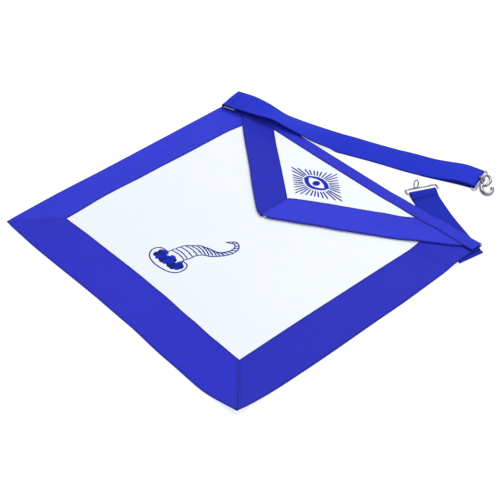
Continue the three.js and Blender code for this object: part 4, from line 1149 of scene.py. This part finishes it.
def horn_bands():
    """The bands of the horn run from one side to the other, each a little bowed, those in the middle
    slanting almost to the end of the next."""
    count = len(HORN["upper"])
    band = np.arange(1, count - 1)
    slant = 0.8 * ramp(band, 1, 4) * (1 - ramp(band, 13, 18))
    upper = np.array(HORN["upper"])[band]
    lower = through(HORN["lower"], 10 * count - 9)[np.round(10 * (band + slant)).astype(int)]
    t = np.linspace(0, 1, 20)[:, None]
    across = unit(lower - upper)[:, None]
    bow = np.sin(np.pi * t) * 0.08 * np.linalg.norm(lower - upper, axis=-1)[:, None, None]
    lines = mix(upper[:, None], lower[:, None], t) - across[..., ::-1] * [1, -1] * bow
    width = BAND_THREAD * rounded(20, 0.25)
    return raised_threads("horn_bands", lines, width, 0.4, body_top, outline_blue, 6)


def horn_dots():
    """Two small stitches between each two of the wide bands."""
    middle = np.arange(1, 12) + 0.5
    rows = [through(HORN[side], 191)[(middle * 10).astype(int)] for side in ("upper", "lower")]
    spot = np.concatenate([mix(*rows, 0.33), mix(*rows, 0.68)])
    lines = spot[:, None] + direction(-20) * np.linspace(-0.7, 0.7, 6)[:, None]
    width = DOT_THREAD * rounded(6, 0.5)
    return raised_threads("horn_dots", lines, width, 0.35, body_top, outline_blue, 6)


def horn_mouth():
    """The rim of the mouth, from one side of the horn's neck to the other."""
    width = RIM_THREAD * rounded(160, 0.1)
    line = through(HORN["rim"], 160)
    return raised_threads("horn_mouth", [line], width, 0.45, body_top, outline_blue, 6)


def horn_leaves(name, first, material):
    """Every second leaf in the mouth: drops of satin stitch from a root to a tip, one over the
    other."""
    root, tip = np.array(HORN["root"])[first::2], np.array(HORN["tip"])[first::2]
    t = np.linspace(0, 1, 26)
    lines = mix(root[:, None], tip[:, None], t[:, None])
    count = len(root)
    bend = np.where(np.arange(count) % 2, 0.7, -0.5)[:, None] * np.sin(np.pi * t)
    lines = lines + unit(tip - root)[:, None, ::-1] * np.array([1, -1]) * bend[..., None]
    full = LEAF_WIDTHS[first] + 0.3 * (np.arange(count) % 2)[:, None]
    width = full * rounded(26, 0.5) * (0.8 + 0.2 * t)
    height = (0.5 + 0.14 * (np.arange(count) % 3) + 0.07 * first)[:, None] * rounded(26, 0.3)
    return raised_threads(name, lines, width, height, body_top, material, 10)


eye_pieces = [eye_lids(), *eye_iris(), eye_rays()]
horn_pieces = [horn_outline(), horn_bands(), horn_dots(), horn_mouth()]
horn_pieces += [horn_leaves("horn_leaves_dark", 0, satin_dark), horn_leaves("horn_leaves", 1, satin_blue)]


# Stitching
def edge_stitches(name, ribbon, inset):
    """A row of stitches along the inner edge of a ribbon, 2.2 mm long and 3 mm apart."""
    inner = np.linalg.norm(np.array(ribbon["to_inner"]) - np.array(ribbon["from_inner"]))
    start = np.linspace(0, 1, int(inner / 3), endpoint=False)[:, None]
    along = start + np.linspace(0, 2.2 / inner, 4)
    share = np.full_like(along, 1 - inset / ribbon["width"])
    lines = ribbon_plan(ribbon, along, share)
    face = lambda x, y: ribbon["low"](x, y) + RIBBON - 0.02
    return raised_threads(name, lines, SEWING_THREAD, SEWING_THREAD, face, ribbon_thread, 5)


ROWS_OF_STITCHES = {
    "left": (LEFT, 1.6), "hem": (HEM, 1.6), "right": (RIGHT, 1.6),
    "flap_left": (FLAP_LEFT, 1.4), "flap_right": (FLAP_RIGHT, 1.4), "band": (BAND, 1.3),
}
stitches = {key: edge_stitches("stitches_" + key, *row) for key, row in ROWS_OF_STITCHES.items()}

# The pieces made for each node: the node's imported part is hidden, and its pieces ride on the root body,
# the snake hook on the hook body
SLOTS = {
    "apron_panel": [body], "border_left": [ribbon_left, stitches["left"]],
    "border_hem": [ribbon_hem, stitches["hem"]], "border_right": [ribbon_right, stitches["right"]],
    "flap_panel": [flap], "flap_border_left": [ribbon_flap_left, stitches["flap_left"]],
    "flap_border_right": [ribbon_flap_right, stitches["flap_right"]],
    "waist_band": [binding, stitches["band"]], "long_strap": [long_piece],
    "short_strap": [short_piece], "strap_stiffener": [stiffener],
    "hook_frame": [hook_wire, hook_eye], "eye_frame": [eye_wire, standing_eye], "snake_hook": [snake],
}
for slot_name, pieces in SLOTS.items():
    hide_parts(slot_name)
    for piece in pieces:
        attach(piece, "hook" if piece == snake else "root")
for piece in eye_pieces + horn_pieces:
    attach(piece, "root")

# The table, the light and the camera
floor_mesh = bpy.data.meshes.new("table_top")
floor_mesh.from_pydata([(-3, -3, 0), (3, -3, 0), (3, 3, 0), (-3, 3, 0)], [], [(0, 1, 2, 3)])
floor = bpy.data.objects.new("table_top", floor_mesh)
bpy.context.scene.collection.objects.link(floor)
paper, _, paper_shader = new_material("white table", (0.35, 0.35, 0.35), 0.9, 0.0)
paper_shader.inputs["Emission Color"].default_value = (1, 1, 1, 1)
paper_shader.inputs["Emission Strength"].default_value = 0.72
floor_mesh.materials.append(paper)

world = bpy.data.worlds.new("soft room")
world.use_nodes = True
world.node_tree.nodes["Background"].inputs["Color"].default_value = (0.97, 0.985, 1, 1)
world.node_tree.nodes["Background"].inputs["Strength"].default_value = 0.8
bpy.context.scene.world = world


def soft_light(name, place, size, power):
    """A square light that looks at the middle of the apron."""
    data = bpy.data.lights.new(name, "AREA")
    data.size, data.energy = size, power
    light = bpy.data.objects.new(name, data)
    bpy.context.scene.collection.objects.link(light)
    back = np.array(place) / np.linalg.norm(place)
    right = unit(np.cross([0, 0, 1.0], back))
    axes = np.stack([right, np.cross(back, right), back], 1)
    light.matrix_world = Matrix.Translation(place) @ Matrix(axes.tolist()).to_4x4()


soft_light("key_light", (-0.5, 1.3, 1.9), 1.1, 28)
soft_light("fill_light", (1.6, 0.2, 1.6), 1.2, 9)

AZIMUTH, ELEVATION, ROLL = math.radians(51.06), math.radians(40.76), math.radians(-3.23)
TARGET = np.array([0.0270, -0.0087, 0.0])
DISTANCE = 1.4991
back = np.array([
    math.sin(AZIMUTH) * math.cos(ELEVATION), -math.cos(AZIMUTH) * math.cos(ELEVATION), math.sin(ELEVATION),
])
level = unit(np.cross(-back, [0, 0, 1.0]))
upright = np.cross(level, -back)
right = math.cos(ROLL) * level + math.sin(ROLL) * upright
top = -math.sin(ROLL) * level + math.cos(ROLL) * upright
camera_data = bpy.data.cameras.new("camera")
camera_data.sensor_width = 36
camera_data.lens = 97.66
camera = bpy.data.objects.new("camera", camera_data)
bpy.context.scene.collection.objects.link(camera)
camera.matrix_world = (
    Matrix.Translation(TARGET + back * DISTANCE) @ Matrix(np.stack([right, top, back], 1).tolist()).to_4x4()
)
bpy.context.scene.camera = camera
bpy.context.scene.view_settings.view_transform = "Standard"
